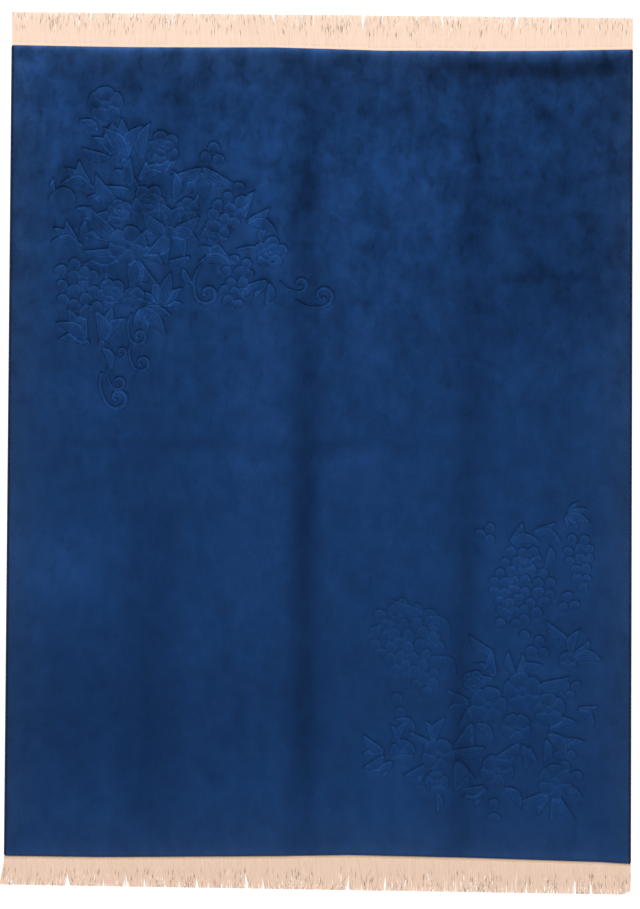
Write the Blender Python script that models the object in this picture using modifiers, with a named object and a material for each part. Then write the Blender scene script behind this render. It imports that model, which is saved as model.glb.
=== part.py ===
"""A carved wool pile rug, lying flat, with a cream fringe at both ends.

Metres, +Z up. The origin is the middle of the rug on the floor: +X runs across the rug and +Y along it
to its far end. The pile and its foundation are one slab whose face carries two sprays of flowers, cut
as grooves. A wrapped cord runs down each side, and each end has a woven band with its warp strands.
"""
import cmath
import math
from collections import defaultdict, namedtuple

import bmesh
import bpy
import numpy as np
from mathutils import Vector
from mathutils.geometry import delaunay_2d_cdt

GAP = 0.0003

# Corners of the woven rug, its side cords included
FAR_LEFT = complex(-1.213, 1.584)
FAR_RIGHT = complex(1.210, 1.584)
NEAR_LEFT = complex(-1.221, -1.576)
NEAR_RIGHT = complex(1.224, -1.592)

# How far each end bows in from its chord: share of the width from the left, inset
FAR_BOW = ((0.0, 0.0), (0.10, 0.003), (0.20, 0.005), (0.30, 0.004), (0.42, 0.002), (0.50, 0.006),
           (0.60, 0.012), (0.68, 0.010), (0.76, 0.011), (0.86, 0.008), (0.95, 0.003), (1.0, 0.0))
NEAR_BOW = ((0.0, 0.0), (0.15, 0.0), (0.20, 0.002), (0.35, 0.009), (0.45, 0.014), (0.55, 0.021),
            (0.65, 0.019), (0.76, 0.016), (0.86, 0.011), (0.95, 0.007), (1.0, 0.001))
END_STATIONS = 40
SIDE_STATIONS = 36

# The pile
PILE_TOP = 0.015
EDGE_TOP = 0.0105
EDGE_ROLL = 0.009
CORNER_CUT = 0.008

# Soft troughs in the face: place of the line, its two ends, half width, depth
ACROSS_TROUGHS = ((0.026, -1.17, 0.31, 0.045, 0.0010), (0.677, 0.62, 1.21, 0.040, 0.0008),
                  (1.507, 0.45, 1.21, 0.040, 0.0008))
LONG_TROUGHS = ((-0.058, -1.60, 1.60, 0.070, 0.0020), (0.570, -1.60, 1.60, 0.060, 0.0014),
                (-0.670, -1.60, 0.10, 0.050, 0.0010))
TROUGH_STEP = 0.19
FIELD_STEP = 0.21

# The carving
UPPER_HEART = complex(-0.668, 0.809)
LOWER_HEART = complex(0.710, -1.015)
GROOVE_DEPTH = 0.0045
GROOVE_HALF = 0.007
GROOVE_STEP = 0.030
SAMPLE_STEP = 0.004
LINE_CLEAR = 0.0055
RIM_REACH = 0.0078
CROWN_CLEAR = 0.0055
SPOT_CLEAR = 0.0068
SMALLEST_RING = 0.07
SHORTEST_RUN = 0.015

# The side cords
CORD_WIDTH = 0.007
CORD_HEIGHT = 0.010
CORD_ROUND = 0.0025
CORD_SHORT = 0.002

# The end bands and their strands
BAND_WIDTH = 0.010
BAND_HEIGHT = 0.0035
STRANDS = 150
# Each section of a strand: share of its length, half width, ridge height
STRAND_SECTIONS = ((0.0, 0.0070, 0.0035), (0.45, 0.0065, 0.0046), (1.0, 0.0040, 0.0024))
# Where the strand tips end: share of the width from the left, y
FAR_TIPS = ((0.0, 1.714), (1.0, 1.707))
NEAR_TIPS = ((0.0, -1.689), (0.5, -1.700), (1.0, -1.711))
# Partings between strands: share of the width from the left, how far each side leans off at the tips
FAR_PARTINGS = ((0.07, 0.004), (0.31, 0.005), (0.55, 0.005), (0.78, 0.004), (0.96, 0.005))
NEAR_PARTINGS = ((0.13, 0.006), (0.36, 0.006), (0.62, 0.007), (0.84, 0.006))
PARTING_REACH = 0.09
# Slow sways of the strands: swing at the tips, radians over the rug's width, radians of start
SWAYS = ((0.006, 9.0, 1.0), (0.004, 23.0, 2.0))
# The near left strands flare out past the side: swing of the outermost, width that flares
FLARE = 0.020
FLARE_REACH = 0.10
TIP_STRAY = 0.0012
LENGTH_STRAY = 0.003

# Colours as linear red, green, blue
WOOL_BLUE = (0.0103, 0.0373, 0.1224)
CORD_BLUE = (0.0072, 0.0231, 0.0745)
COTTON_CREAM = (0.87, 0.66, 0.52)

Shape = namedtuple("Shape", "outline veins crown spine")
Motif = namedtuple("Motif", "kind x y turn size form")

# Upper spray: metres about its heart, front to back, turn in degrees
UPPER_SPRAY = [Motif(*row) for row in (
    ("blossom", -0.086, 0.000, 80, 0.150, 6),
    ("lily", 0.075, 0.050, -15, 0.250, 9),
    ("rose", -0.005, 0.170, 30, 0.135, 3),
    ("rose", -0.120, 0.130, 80, 0.100, 3),
    ("blossom", 0.145, 0.140, 20, 0.090, 5),
    ("fan", -0.084, -0.020, 268, 0.180, 5),
    ("fan", -0.098, 0.008, 176, 0.200, 3),
    ("fan", -0.112, 0.140, 164, 0.170, 3),
    ("fan", -0.066, 0.215, 138, 0.130, 3),
    ("fan", -0.052, 0.240, 40, 0.115, 2),
    ("leaf", 0.090, 0.180, 86, 0.110, 2),
    ("blossom", -0.176, 0.545, 90, 0.140, 5),
    ("tulip", -0.100, 0.320, 94, 0.175, 2),
    ("leaf", -0.030, 0.330, 82, 0.150, 1),
    ("fan", -0.140, 0.336, 128, 0.145, 3),
    ("rose", 0.050, 0.380, 10, 0.135, 3),
    ("leaf", -0.030, 0.296, 16, 0.120, 2),
    ("trio", 0.242, 0.352, 200, 0.046, 3),
    ("leaf", 0.200, 0.300, 197, 0.125, 1),
    ("leaf", 0.205, 0.303, -30, 0.140, 2),
    ("fruit", 0.188, 0.238, 90, 0.094, 1),
    ("tulip", -0.228, 0.222, 143, 0.130, 2),
    ("fruit", -0.343, 0.170, -50, 0.108, 1),
    ("leaf", -0.290, 0.140, -30, 0.090, 1),
    ("tulip", -0.272, -0.004, 146, 0.125, 2),
    ("bunch", 0.345, 0.225, 244, 0.047, 1),
    ("fan", 0.365, 0.090, 30, 0.140, 3),
    ("rose", 0.255, 0.050, 15, 0.110, 3),
    ("tulip", 0.318, -0.070, 152, 0.145, 2),
    ("rose", 0.470, -0.030, 60, 0.132, 3),
    ("stem", 0.335, -0.020, 2, 0.115, 1),
    ("bunch", 0.350, -0.060, 260, 0.043, 2),
    ("fan", 0.468, -0.132, 228, 0.115, 3),
    ("scroll", 0.509, -0.139, -34, 0.070, 1),
    ("scroll", 0.571, -0.214, -16, 0.095, 1),
    ("scroll", 0.200, -0.075, 256, 0.105, 1),
    ("leaf", 0.158, -0.045, 194, 0.090, 1),
    ("rose", -0.148, -0.190, 20, 0.115, 3),
    ("blossom", -0.060, -0.205, 40, 0.085, 4),
    ("bunch", -0.325, -0.090, 300, 0.050, 3),
    ("ivy", 0.045, -0.235, 74, 0.135, 5),
    ("ivy", -0.020, -0.240, 308, 0.140, 5),
    ("tulip", -0.245, -0.385, 118, 0.155, 2),
    ("tulip", -0.185, -0.385, 74, 0.150, 2),
    ("leaf", -0.240, -0.388, 168, 0.115, 2),
    ("scroll", -0.068, -0.270, 262, 0.082, 1),
    ("scroll", -0.066, -0.375, 268, 0.084, 1),
    ("leaf", -0.182, -0.400, 294, 0.100, 1),
    ("scroll", -0.160, -0.385, 300, 0.056, 1),
    ("scroll", -0.158, -0.470, 274, 0.070, 1),
    ("scroll", -0.184, -0.500, 276, 0.104, 1),
    ("leaf", -0.203, 0.438, 146, 0.090, 2),
    ("leaf", 0.430, 0.010, 66, 0.080, 1),
    ("leaf", 0.015, 0.290, 30, 0.110, 2),
    ("leaf", -0.240, 0.010, 100, 0.090, 1),
    ("leaf", 0.130, -0.090, 300, 0.080, 2),
    ("stem", -0.040, -0.220, -14, 0.080, 1),
    ("stem", -0.080, 0.280, 290, 0.120, 1),
    ("stem", -0.150, 0.480, 282, 0.130, 1),
)]

# Lower spray, in the same columns
LOWER_SPRAY = [Motif(*row) for row in (
    ("blossom", -0.047, 0.040, 70, 0.145, 5),
    ("blossom", 0.086, 0.095, 30, 0.150, 5),
    ("blossom", 0.188, 0.025, 90, 0.130, 5),
    ("blossom", 0.062, -0.048, 50, 0.118, 5),
    ("rose", -0.105, 0.130, 40, 0.092, 3),
    ("fan", -0.015, 0.140, 134, 0.120, 3),
    ("leaf", -0.020, 0.235, 146, 0.130, 1),
    ("fan", 0.060, 0.150, 66, 0.115, 3),
    ("fan", -0.110, 0.050, 200, 0.115, 3),
    ("fan", -0.105, -0.020, 276, 0.125, 3),
    ("leaf", -0.060, -0.125, 188, 0.130, 1),
    ("leaf", 0.142, 0.118, 12, 0.135, 2),
    ("fan", 0.175, -0.060, 346, 0.140, 3),
    ("leaf", 0.178, -0.090, 268, 0.095, 1),
    ("fan", 0.086, -0.100, 246, 0.125, 3),
    ("blossom", 0.262, 0.212, 40, 0.075, 4),
    ("leaf", 0.262, 0.300, 144, 0.112, 1),
    ("fan", 0.268, 0.225, 34, 0.130, 3),
    ("trio", 0.272, 0.105, 30, 0.040, 3),
    ("fan", 0.292, 0.032, 336, 0.105, 2),
    ("bunch", 0.078, 0.640, 269, 0.042, 4),
    ("berry", 0.000, 0.412, 0, 0.040, 1),
    ("berry", -0.002, 0.360, 0, 0.042, 1),
    ("berry", 0.093, 0.314, 0, 0.040, 1),
    ("trio", 0.145, 0.262, 80, 0.044, 3),
    ("trio", -0.058, 0.706, 60, 0.042, 3),
    ("fan", 0.022, 0.664, 36, 0.130, 2),
    ("fan", 0.110, 0.716, 6, 0.130, 2),
    ("leaf", 0.190, 0.660, 258, 0.095, 1),
    ("ivy", 0.255, 0.790, 338, 0.098, 5),
    ("bunch", 0.295, 0.690, 275, 0.041, 5),
    ("trio", 0.262, 0.440, 100, 0.041, 3),
    ("leaf", -0.300, 0.400, 162, 0.130, 1),
    ("leaf", -0.285, 0.385, -44, 0.130, 1),
    ("bunch", -0.430, 0.410, 297, 0.046, 6),
    ("leaf", -0.410, 0.330, 174, 0.090, 2),
    ("leaf", -0.240, 0.230, -46, 0.100, 1),
    ("berry", -0.402, 0.062, 0, 0.046, 1),
    ("berry", -0.390, 0.010, 0, 0.042, 1),
    ("blossom", -0.240, -0.155, 60, 0.130, 5),
    ("blossom", -0.380, -0.145, 20, 0.100, 5),
    ("fan", -0.262, -0.112, 112, 0.115, 3),
    ("fan", -0.440, -0.150, 178, 0.120, 3),
    ("fan", -0.400, -0.110, 84, 0.092, 2),
    ("fan", -0.410, -0.175, 226, 0.105, 2),
    ("fan", -0.282, -0.190, 222, 0.105, 2),
    ("blossom", -0.245, -0.262, 90, 0.092, 4),
    ("leaf", -0.245, -0.300, 272, 0.082, 1),
    ("fan", -0.170, -0.165, 294, 0.130, 2),
    ("leaf", -0.150, -0.290, 8, 0.095, 2),
    ("blossom", -0.012, -0.215, 54, 0.130, 5),
    ("fan", -0.040, -0.280, 220, 0.115, 2),
    ("leaf", 0.015, -0.280, 312, 0.110, 1),
    ("blossom", 0.215, -0.255, 30, 0.135, 6),
    ("trio", 0.252, -0.168, 30, 0.043, 3),
    ("berry", 0.300, -0.235, 0, 0.046, 1),
    ("fan", 0.208, -0.290, 272, 0.140, 5),
    ("leaf", 0.145, -0.180, 118, 0.070, 1),
    ("leaf", 0.235, -0.130, 20, 0.100, 1),
    ("leaf", -0.330, -0.060, 150, 0.095, 2),
    ("leaf", -0.120, -0.230, 230, 0.090, 1),
    ("berry", -0.023, -0.345, 0, 0.042, 1),
    ("berry", -0.022, -0.400, 0, 0.046, 1),
)]

# Florets in each row of a bunch, from its stalk down, by the bunch's form
BUNCH_ROWS = {
    1: (1, 2, 3, 3, 2),
    2: (2, 3, 2, 3, 2),
    3: (2, 3, 4, 3, 2),
    4: (3, 4, 5, 6, 6, 5, 4, 2),
    5: (2, 3, 3, 2, 2, 1),
    6: (3, 5, 6, 6, 5, 5, 4, 3, 2),
}
LEAF_BROAD = 0.37
FAN_STEP = 39
FAN_FOOT = 0.1
FAN_LENGTHS = (1.0, 0.84, 0.93)


def along(degrees):
    """A unit step in a direction, as a complex number."""
    return cmath.rect(1.0, math.radians(degrees))


def disc(centre, radius, sides=16):
    """A roundish shape, each a little uneven in its own way, crowned at its middle."""
    lay = 3600 * (centre.real + 0.7 * centre.imag)
    ring = []
    for k in range(sides):
        angle = 360 * k / sides
        uneven = 1 + 0.055 * along(2 * angle + lay).real + 0.04 * along(3 * angle + 2 * lay).real
        ring.append(centre + radius * uneven * along(angle))
    return Shape(ring, [], [centre], [])


def leaf(at, turn, length, form=1, broad=LEAF_BROAD, steps=10):
    """A pointed leaf from its stalk, with a midrib; form 1 bends left, 2 right, 0 not at all."""
    hand = {0: 0, 1: 1, 2: -1}[form]
    ahead = along(turn)

    def spot(t, side):
        bend = hand * (0.11 * math.sin(math.pi * t) - 0.06 * t ** 3)
        half = 0.5 * broad * math.sin(math.pi * t ** 0.85) * (1 + 0.1 * hand * side)
        return at + ahead * length * complex(t, bend + side * half)

    right = [spot(k / steps, -1) for k in range(steps + 1)]
    left = [spot(k / steps, 1) for k in range(steps - 1, 0, -1)]
    veins = [[spot(0.06 + 0.78 * k / steps, 0) for k in range(steps + 1)]]
    if length > 0.105:
        for side in (0.5, -0.5):
            veins.append([spot(0.2 + 0.5 * k / steps, side) for k in range(steps + 1)])
    return [Shape(right + left, veins, [spot(t, 0) for t in (0.3, 0.55, 0.78)], [])]


def fan(at, turn, size, form):
    """Leaves spread about one stalk."""
    made = []
    for k in range(form):
        skew = (k - (form - 1) / 2) * FAN_STEP + 7 * math.sin(5 * k + turn)
        foot = at + FAN_FOOT * size * along(turn + skew)
        made += leaf(foot, turn + skew, (FAN_LENGTHS[k % 3] - FAN_FOOT) * size, 1 + k % 2)
    return made


def petal(at, turn, length, width, steps=14):
    """A round-ended petal, narrow at its foot."""
    ring = []
    for k in range(steps):
        reach = 0.5 - 0.5 * math.cos(2 * math.pi * (k + 0.5) / steps)
        spread = -0.5 * math.sin(2 * math.pi * (k + 0.5) / steps) * (0.45 + 0.55 * reach ** 0.7)
        notch = 0.11 * math.exp(-(spread / 0.09) ** 2) * (reach > 0.5)
        ring.append(at + along(turn) * complex(length * (reach - notch), width * spread))
    return Shape(ring, [], [at + along(turn) * 0.66 * length], [])


def blossom(at, turn, size, form):
    """Round petals about a small eye."""
    made = [disc(at, 0.12 * size, 10)]
    for k in range(form):
        angle = turn + 360 * k / form + 5 * math.sin(9 * k + turn)
        width = 1.06 * size * math.sin(math.pi / form)
        made.append(petal(at + 0.04 * size * along(angle), angle, 0.475 * size, width))
    return made


def rose(at, turn, size, form):
    """A full bloom: its heart, the inner petals and five outer ones."""
    made = [disc(at, 0.085 * size, 10)]
    for count, reach, radius, skew in ((form, 0.13, 0.18, 0), (5, 0.28, 0.225, 24)):
        for k in range(count):
            centre = at + reach * size * along(turn + skew + 360 * k / count)
            made.append(disc(centre, radius * size * (1 + 0.07 * math.sin(7 * k + turn))))
    return made


def lily(at, turn, size, form):
    """Long pointed petals about a round eye."""
    made = [disc(at, 0.1 * size, 12)]
    for k in range(form):
        long = 0.5 * size * (1 + 0.08 * math.sin(4 * k + turn))
        made += leaf(at, turn + 360 * k / form, long, 1 + k % 2, 0.4)
    return made


def tulip(at, turn, size, form):
    """A cup seen from the side: two outer petals over one or more inner ones."""
    made = [disc(at, 0.09 * size, 10)]
    made += leaf(at, turn + 25, 0.92 * size, 2, 0.35)
    made += leaf(at, turn - 25, 0.92 * size, 1, 0.35)
    made += leaf(at, turn, size, 0, 0.18 * form)
    return made


def fruit(at, turn, size, form):
    """A plum with its cleft and one small leaf."""
    ring = []
    for k in range(20):
        away = 18 * k - 180
        dent = 1 - 0.16 * math.exp(-((away / 28) ** 2))
        ring.append(at + 0.5 * size * dent * along(turn + 18 * k))
    cleft = [at + size * along(turn) * complex(-0.4 + 0.09 * k, 0.08 * math.sin(math.pi * k / 6))
             for k in range(7)]
    stalk = at - 0.4 * size * along(turn)
    return [Shape(ring, [cleft], [at], [])] + leaf(stalk, turn + 150, 0.5 * size, form)


def berry(at, turn, size, form):
    """One round floret."""
    return [disc(at, 0.5 * size)]


def trio(at, turn, size, form):
    """A few florets side by side about one point."""
    return [disc(at + 0.62 * size * along(turn + 360 * k / form), 0.5 * size) for k in range(form)]


def bunch(at, turn, size, form):
    """Staggered rows of florets hanging from a stalk."""
    made = []
    for i, count in enumerate(BUNCH_ROWS[form]):
        for j in range(count):
            wander = 0.17 * size * math.sin(12.9 * i + 7.7 * j)
            down = 0.93 * size * i + 0.8 * wander + 0.12 * size * math.sin(3.1 * j + i)
            aside = (j - (count - 1) / 2) * 1.03 * size + wander
            radius = 0.5 * size * (1 + 0.09 * math.sin(5.1 * i + 3.3 * j))
            made.append(disc(at + along(turn) * complex(down, aside), radius, 12))
    return made


def ivy(at, turn, size, form):
    """A lobed leaf: its points fan out from the stalk, the middle one longest."""
    made = []
    for k in sorted(range(form), key=lambda k: abs(k - (form - 1) / 2)):
        off = k - (form - 1) / 2
        made += leaf(at, turn + 34 * off, size * (1 - 0.19 * abs(off)), 0, 0.36)
    return made


def band(line, widths):
    """A closed strip about a line of points."""
    sides = []
    for i, spot in enumerate(line):
        step = line[min(i + 1, len(line) - 1)] - line[max(i - 1, 0)]
        sides.append(0.5j * widths[i] * step / abs(step))
    left = [spot + side for spot, side in zip(line, sides)]
    right = [spot - side for spot, side in zip(line, sides)]
    return Shape(right + left[::-1], [], [], line)


def scroll(at, turn, size, form, tail=5, curl=30):
    """A tendril: it runs straight, then curls in about its eye; form is its hand."""
    line = []
    for k in range(tail):
        line.append(complex(size * k / tail, -0.12 * form * size * math.sin(math.pi * k / tail)))
    for k in range(curl + 1):
        inward = 0.5 * size * (1 - 0.74 * (k / curl) ** 0.8)
        line.append(complex(size, 0.5 * form * size) + inward * along(form * (400 * k / curl - 90)))
    count = len(line)
    widths = [size * (0.07 + 0.12 * min(1, 2.9 * k / count)) * (1 - 0.45 * k / count) for k in range(count)]
    line = [at + spot * along(turn) for spot in line]
    return [disc(line[-1], 0.085 * size, 10), band(line, widths)]


def stem(at, turn, size, form, steps=8):
    """A thin bowed stalk."""
    line = [at + size * along(turn) * complex(k / steps, 0.1 * form * math.sin(math.pi * k / steps))
            for k in range(steps + 1)]
    return [band(line, [0.009] * (steps + 1))]


def spray_shapes(rows, heart):
    """Every motif of one spray as shapes on the rug, the foremost first."""
    kinds = dict(leaf=leaf, fan=fan, blossom=blossom, rose=rose, lily=lily, tulip=tulip, fruit=fruit,
                 berry=berry, trio=trio, bunch=bunch, ivy=ivy, scroll=scroll, stem=stem)
    made = []
    for row in rows:
        made += kinds[row.kind](heart + complex(row.x, row.y), row.turn, row.size, row.form)
    return made


def inside(spots, ring):
    """Which spots lie within a closed outline."""
    hit = np.zeros(len(spots), bool)
    for a, b in zip(ring, np.roll(ring, 1)):
        crosses = (a.imag > spots.imag) != (b.imag > spots.imag)
        rise = b.imag - a.imag if b.imag != a.imag else 1e-12
        hit ^= crosses & (spots.real < (b.real - a.real) * (spots.imag - a.imag) / rise + a.real)
    return hit


def spaced(line, step, least=1):
    """Points at even steps along a line of points, both ends kept."""
    run = np.concatenate(([0], np.cumsum(np.abs(np.diff(line)))))
    count = max(least, 2 * round(run[-1] / step / 2))
    at = np.linspace(0, run[-1], count + 1)
    return np.interp(at, run, np.real(line)) + 1j * np.interp(at, run, np.imag(line))


def in_sight(line, rings):
    """The runs of a line that no nearer shape covers."""
    shown = np.ones(len(line), bool)
    for ring in rings:
        shown &= ~inside(line, ring)
    return runs_of(line, shown)


def runs_of(line, keep):
    """The stretches of a line whose points are all kept."""
    cuts = np.flatnonzero(np.diff(keep.astype(int))) + 1
    parts = np.split(np.arange(len(line)), cuts)
    return [line[part] for part in parts if keep[part[0]] and len(part) > 1]


class Marks:
    """Points kept in square cells, so that the nearest is found quickly."""

    def __init__(self, cell):
        self.cell = cell
        self.cells = defaultdict(list)

    def key(self, spot):
        return int(spot.real // self.cell), int(spot.imag // self.cell)

    def add(self, spots):
        for spot in spots:
            self.cells[self.key(spot)].append(spot)

    def reach(self, spot):
        """The distance to the nearest point, or one cell where none is nearer."""
        i, j = self.key(spot)
        nearest = self.cell
        for a in (i - 1, i, i + 1):
            for b in (j - 1, j, j + 1):
                for other in self.cells.get((a, b), ()):
                    nearest = min(nearest, abs(other - spot))
        return nearest


def table_value(table, at):
    """A value read from a two-column table."""
    return float(np.interp(at, [row[0] for row in table], [row[1] for row in table]))


def side_x(side, y):
    """The rug's outer side at a height up the rug; side is -1 left, 1 right."""
    near, far = (NEAR_LEFT, FAR_LEFT) if side < 0 else (NEAR_RIGHT, FAR_RIGHT)
    return near.real + (far.real - near.real) * (y - near.imag) / (far.imag - near.imag)


def end_stations(end):
    """Points across one end of the pile, left to right; end is -1 near, 1 far."""
    left, right = (NEAR_LEFT, NEAR_RIGHT) if end < 0 else (FAR_LEFT, FAR_RIGHT)
    bow = NEAR_BOW if end < 0 else FAR_BOW
    inset = CORD_WIDTH + GAP + CORNER_CUT
    spots = []
    for k in range(END_STATIONS + 1):
        x = left.real + inset + (right.real - left.real - 2 * inset) * k / END_STATIONS
        share = (x - left.real) / (right.real - left.real)
        y = left.imag + (right.imag - left.imag) * share - end * table_value(bow, share)
        spots.append(complex(x, y))
    return spots


ENDS = {end: end_stations(end) for end in (-1, 1)}


def end_y(end, x):
    """The end of the pile at a place across the rug."""
    return float(np.interp(x, [spot.real for spot in ENDS[end]], [spot.imag for spot in ENDS[end]]))


def pile_outline(inset):
    """The slab's outline, drawn in by an inset, anticlockwise from its near left corner."""
    margin = CORD_WIDTH + GAP + inset
    sides = {}
    for side in (-1, 1):
        low = end_y(-1, side_x(side, 0)) + CORNER_CUT + inset
        high = end_y(1, side_x(side, 0)) - CORNER_CUT - inset
        ys = np.linspace(low, high, SIDE_STATIONS + 1)
        sides[side] = [complex(side_x(side, y) - side * margin, y) for y in ys]
    ends = {}
    for end, spots in ENDS.items():
        shrink = 1 - inset / spots[-1].real
        ends[end] = [complex(spot.real * shrink, spot.imag - end * inset) for spot in spots]
    return ends[-1] + sides[1] + ends[1][::-1] + sides[-1][::-1]


def edge_distance(spot):
    """How far inside the slab's outline a point lies."""
    x, y = spot.real, spot.imag
    margin = CORD_WIDTH + GAP
    across = min(side_x(1, y) - margin - x, x - side_x(-1, y) - margin)
    return max(0.0, min(across, end_y(1, x) - y, y - end_y(-1, x)))


def trough_depth(spot):
    """How far the face dips into the soft troughs at a point."""
    dip = 0.0
    for troughs, off, run in ((ACROSS_TROUGHS, spot.imag, spot.real), (LONG_TROUGHS, spot.real, spot.imag)):
        for place, start, stop, half, depth in troughs:
            if start <= run <= stop and abs(off - place) < half:
                dip = max(dip, depth * (1 - abs(off - place) / half))
    return dip


def face_height(spot, lines):
    """The height of the sheared and carved face at a point."""
    roll = max(0.0, 1 - edge_distance(spot) / EDGE_ROLL) ** 2
    groove = GROOVE_DEPTH * max(0.0, 1 - lines.reach(spot) / GROOVE_HALF)
    return PILE_TOP - (PILE_TOP - EDGE_TOP) * roll - trough_depth(spot) - groove


def carving():
    """The grooves' floor points with the pairs that join them, and the points wished for beside them."""
    shapes = spray_shapes(UPPER_SPRAY, UPPER_HEART) + spray_shapes(LOWER_SPRAY, LOWER_HEART)
    rings = [np.array(shape.outline) for shape in shapes]
    lines = Marks(1.5 * GROOVE_HALF)
    floor, ties, beside = [], [], []
    for i, shape in enumerate(shapes):
        nearer = [ring for ring in rings[:i] if overlap(ring, rings[i])]
        line = np.array(shape.spine or shape.outline + shape.outline[:1])
        if np.abs(np.diff(line)).sum() < SMALLEST_RING:
            continue
        cut = []
        for run in in_sight(spaced(line, SAMPLE_STEP), nearer):
            clear = np.array([lines.reach(spot) > LINE_CLEAR for spot in run])
            for part in runs_of(run, clear):
                if np.abs(np.diff(part)).sum() < SHORTEST_RUN:
                    continue
                cut += list(part)
                closed = abs(part[0] - part[-1]) < SAMPLE_STEP / 2
                steps = list(spaced(part, GROOVE_STEP, 6 if closed else 1))
                if closed:
                    steps.pop()
                first = len(floor)
                floor += steps
                ties += [(first + k, first + k + 1) for k in range(len(steps) - 1)]
                if closed:
                    ties.append((len(floor) - 1, first))
                beside += rims(steps, closed, both=bool(shape.spine))
        lines.add(cut)
        shown = np.ones(len(shape.crown), bool)
        for ring in nearer:
            if shape.crown:
                shown &= ~inside(np.array(shape.crown), ring)
        beside += [spot for spot, seen in zip(shape.crown, shown) if seen]
    return floor, ties, beside, lines


def overlap(ring, other):
    """Whether the boxes about two outlines meet."""
    return (ring.real.min() < other.real.max() and other.real.min() < ring.real.max()
            and ring.imag.min() < other.imag.max() and other.imag.min() < ring.imag.max())


def rims(steps, closed, both):
    """Points beside a groove: outside an outline, or on both sides of an open line."""
    made = []
    for k, spot in enumerate(steps):
        before = steps[k - 1] if closed or k else spot
        after = steps[(k + 1) % len(steps)] if closed or k < len(steps) - 1 else spot
        outward = -1j * (after - before) / abs(after - before)
        made.append(spot + RIM_REACH * outward)
        if both:
            made.append(spot - RIM_REACH * outward)
    return made


def field_spots():
    """Points of the plain field: along the troughs, and an even net between them."""
    spots = []
    for place, start, stop, half, _ in LONG_TROUGHS:
        for y in np.arange(start, stop, TROUGH_STEP):
            spots += [complex(place + off, y) for off in (-half, 0, half)]
    for place, start, stop, half, _ in ACROSS_TROUGHS:
        for x in np.arange(start, stop, TROUGH_STEP):
            spots += [complex(x, place + off) for off in (-half, 0, half)]
    for x in np.arange(NEAR_LEFT.real + FIELD_STEP / 2, NEAR_RIGHT.real, FIELD_STEP):
        for y in np.arange(NEAR_RIGHT.imag + FIELD_STEP / 2, FAR_LEFT.imag, FIELD_STEP):
            spots.append(complex(x, y))
    return spots


def material(name, colour, roughness):
    """A plain finish for one part."""
    made = bpy.data.materials.new(name)
    made.use_nodes = True
    shader = made.node_tree.nodes["Principled BSDF"]
    shader.inputs["Base Color"].default_value = (*colour, 1.0)
    shader.inputs["Roughness"].default_value = roughness
    shader.inputs["Metallic"].default_value = 0.0
    return made


def add_object(name, bm, finish, collection):
    """An object made from a finished mesh."""
    bmesh.ops.recalc_face_normals(bm, faces=bm.faces)
    mesh = bpy.data.meshes.new(name)
    bm.to_mesh(mesh)
    bm.free()
    mesh.materials.append(finish)
    made = bpy.data.objects.new(name, mesh)
    collection.objects.link(made)
    return made


def pile_field(finish, collection):
    """The slab: its face is a net of points on and beside the grooves, its walls drop to the floor."""
    floor, ties, beside, lines = carving()
    outline = pile_outline(0.0)
    spots = outline + pile_outline(EDGE_ROLL)
    count = len(outline)
    first = len(spots)
    edges = [(k, (k + 1) % count) for k in range(count)]
    edges += [(first + a, first + b) for a, b in ties]
    spots += floor
    taken = Marks(FIELD_STEP / 4)
    taken.add(spots)
    for spot in beside:
        if lines.reach(spot) > CROWN_CLEAR and taken.reach(spot) > SPOT_CLEAR:
            spots.append(spot)
            taken.add([spot])
    for spot in field_spots():
        if taken.reach(spot) > FIELD_STEP / 6 and edge_distance(spot) > 2 * EDGE_ROLL:
            spots.append(spot)
            taken.add([spot])
    flat = [Vector((spot.real, spot.imag)) for spot in spots]
    net, _, triangles, *_ = delaunay_2d_cdt(flat, edges, [], 1, 1e-5)
    bm = bmesh.new()
    corners = [bm.verts.new((at.x, at.y, face_height(complex(at.x, at.y), lines))) for at in net]
    for triangle in triangles:
        bm.faces.new([corners[k] for k in triangle])
    rim = [edge for edge in bm.edges if len(edge.link_faces) == 1]
    walls = bmesh.ops.extrude_edge_only(bm, edges=rim)["geom"]
    for item in walls:
        if isinstance(item, bmesh.types.BMVert):
            item.co.z = 0.0
    foot = [item for item in walls if isinstance(item, bmesh.types.BMEdge) and len(item.link_faces) == 1]
    bmesh.ops.edgeloop_fill(bm, edges=foot)
    return add_object("pile_field", bm, finish, collection)


def side_cord(name, side, finish, collection):
    """A wrapped cord: a long bar with rounded edges, following the rug's side."""
    near, far = (NEAR_LEFT, FAR_LEFT) if side < 0 else (NEAR_RIGHT, FAR_RIGHT)
    run = far - near
    middle = (near + far) / 2
    bpy.ops.mesh.primitive_cube_add(size=1)
    bar = bpy.context.object
    bar.name = name
    bar.scale = (CORD_WIDTH, abs(run) - 2 * CORD_SHORT, CORD_HEIGHT)
    bpy.ops.object.transform_apply(location=False, rotation=False, scale=True)
    bar.location = (middle.real - side * CORD_WIDTH / 2, middle.imag, CORD_HEIGHT / 2)
    bar.rotation_euler = (0, 0, -math.atan2(run.real, run.imag))
    bevel = bar.modifiers.new("rounded", "BEVEL")
    bevel.width = CORD_ROUND
    bevel.segments = 2
    bar.data.materials.append(finish)
    for group in list(bar.users_collection):
        group.objects.unlink(bar)
    collection.objects.link(bar)
    return bar


def strand_lean(end, x, left, right):
    """How far a strand's tip swings sideways from its root."""
    share = (x - left) / (right - left)
    lean = sum(swing * math.sin(turns * share + end * start) for swing, turns, start in SWAYS)
    for place, swing in NEAR_PARTINGS if end < 0 else FAR_PARTINGS:
        away = x - (left + place * (right - left))
        lean += math.copysign(swing, away) * math.exp(-abs(away) / PARTING_REACH)
    if end < 0:
        lean -= FLARE * max(0.0, 1 - (x - left) / FLARE_REACH) ** 2
    return lean


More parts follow.
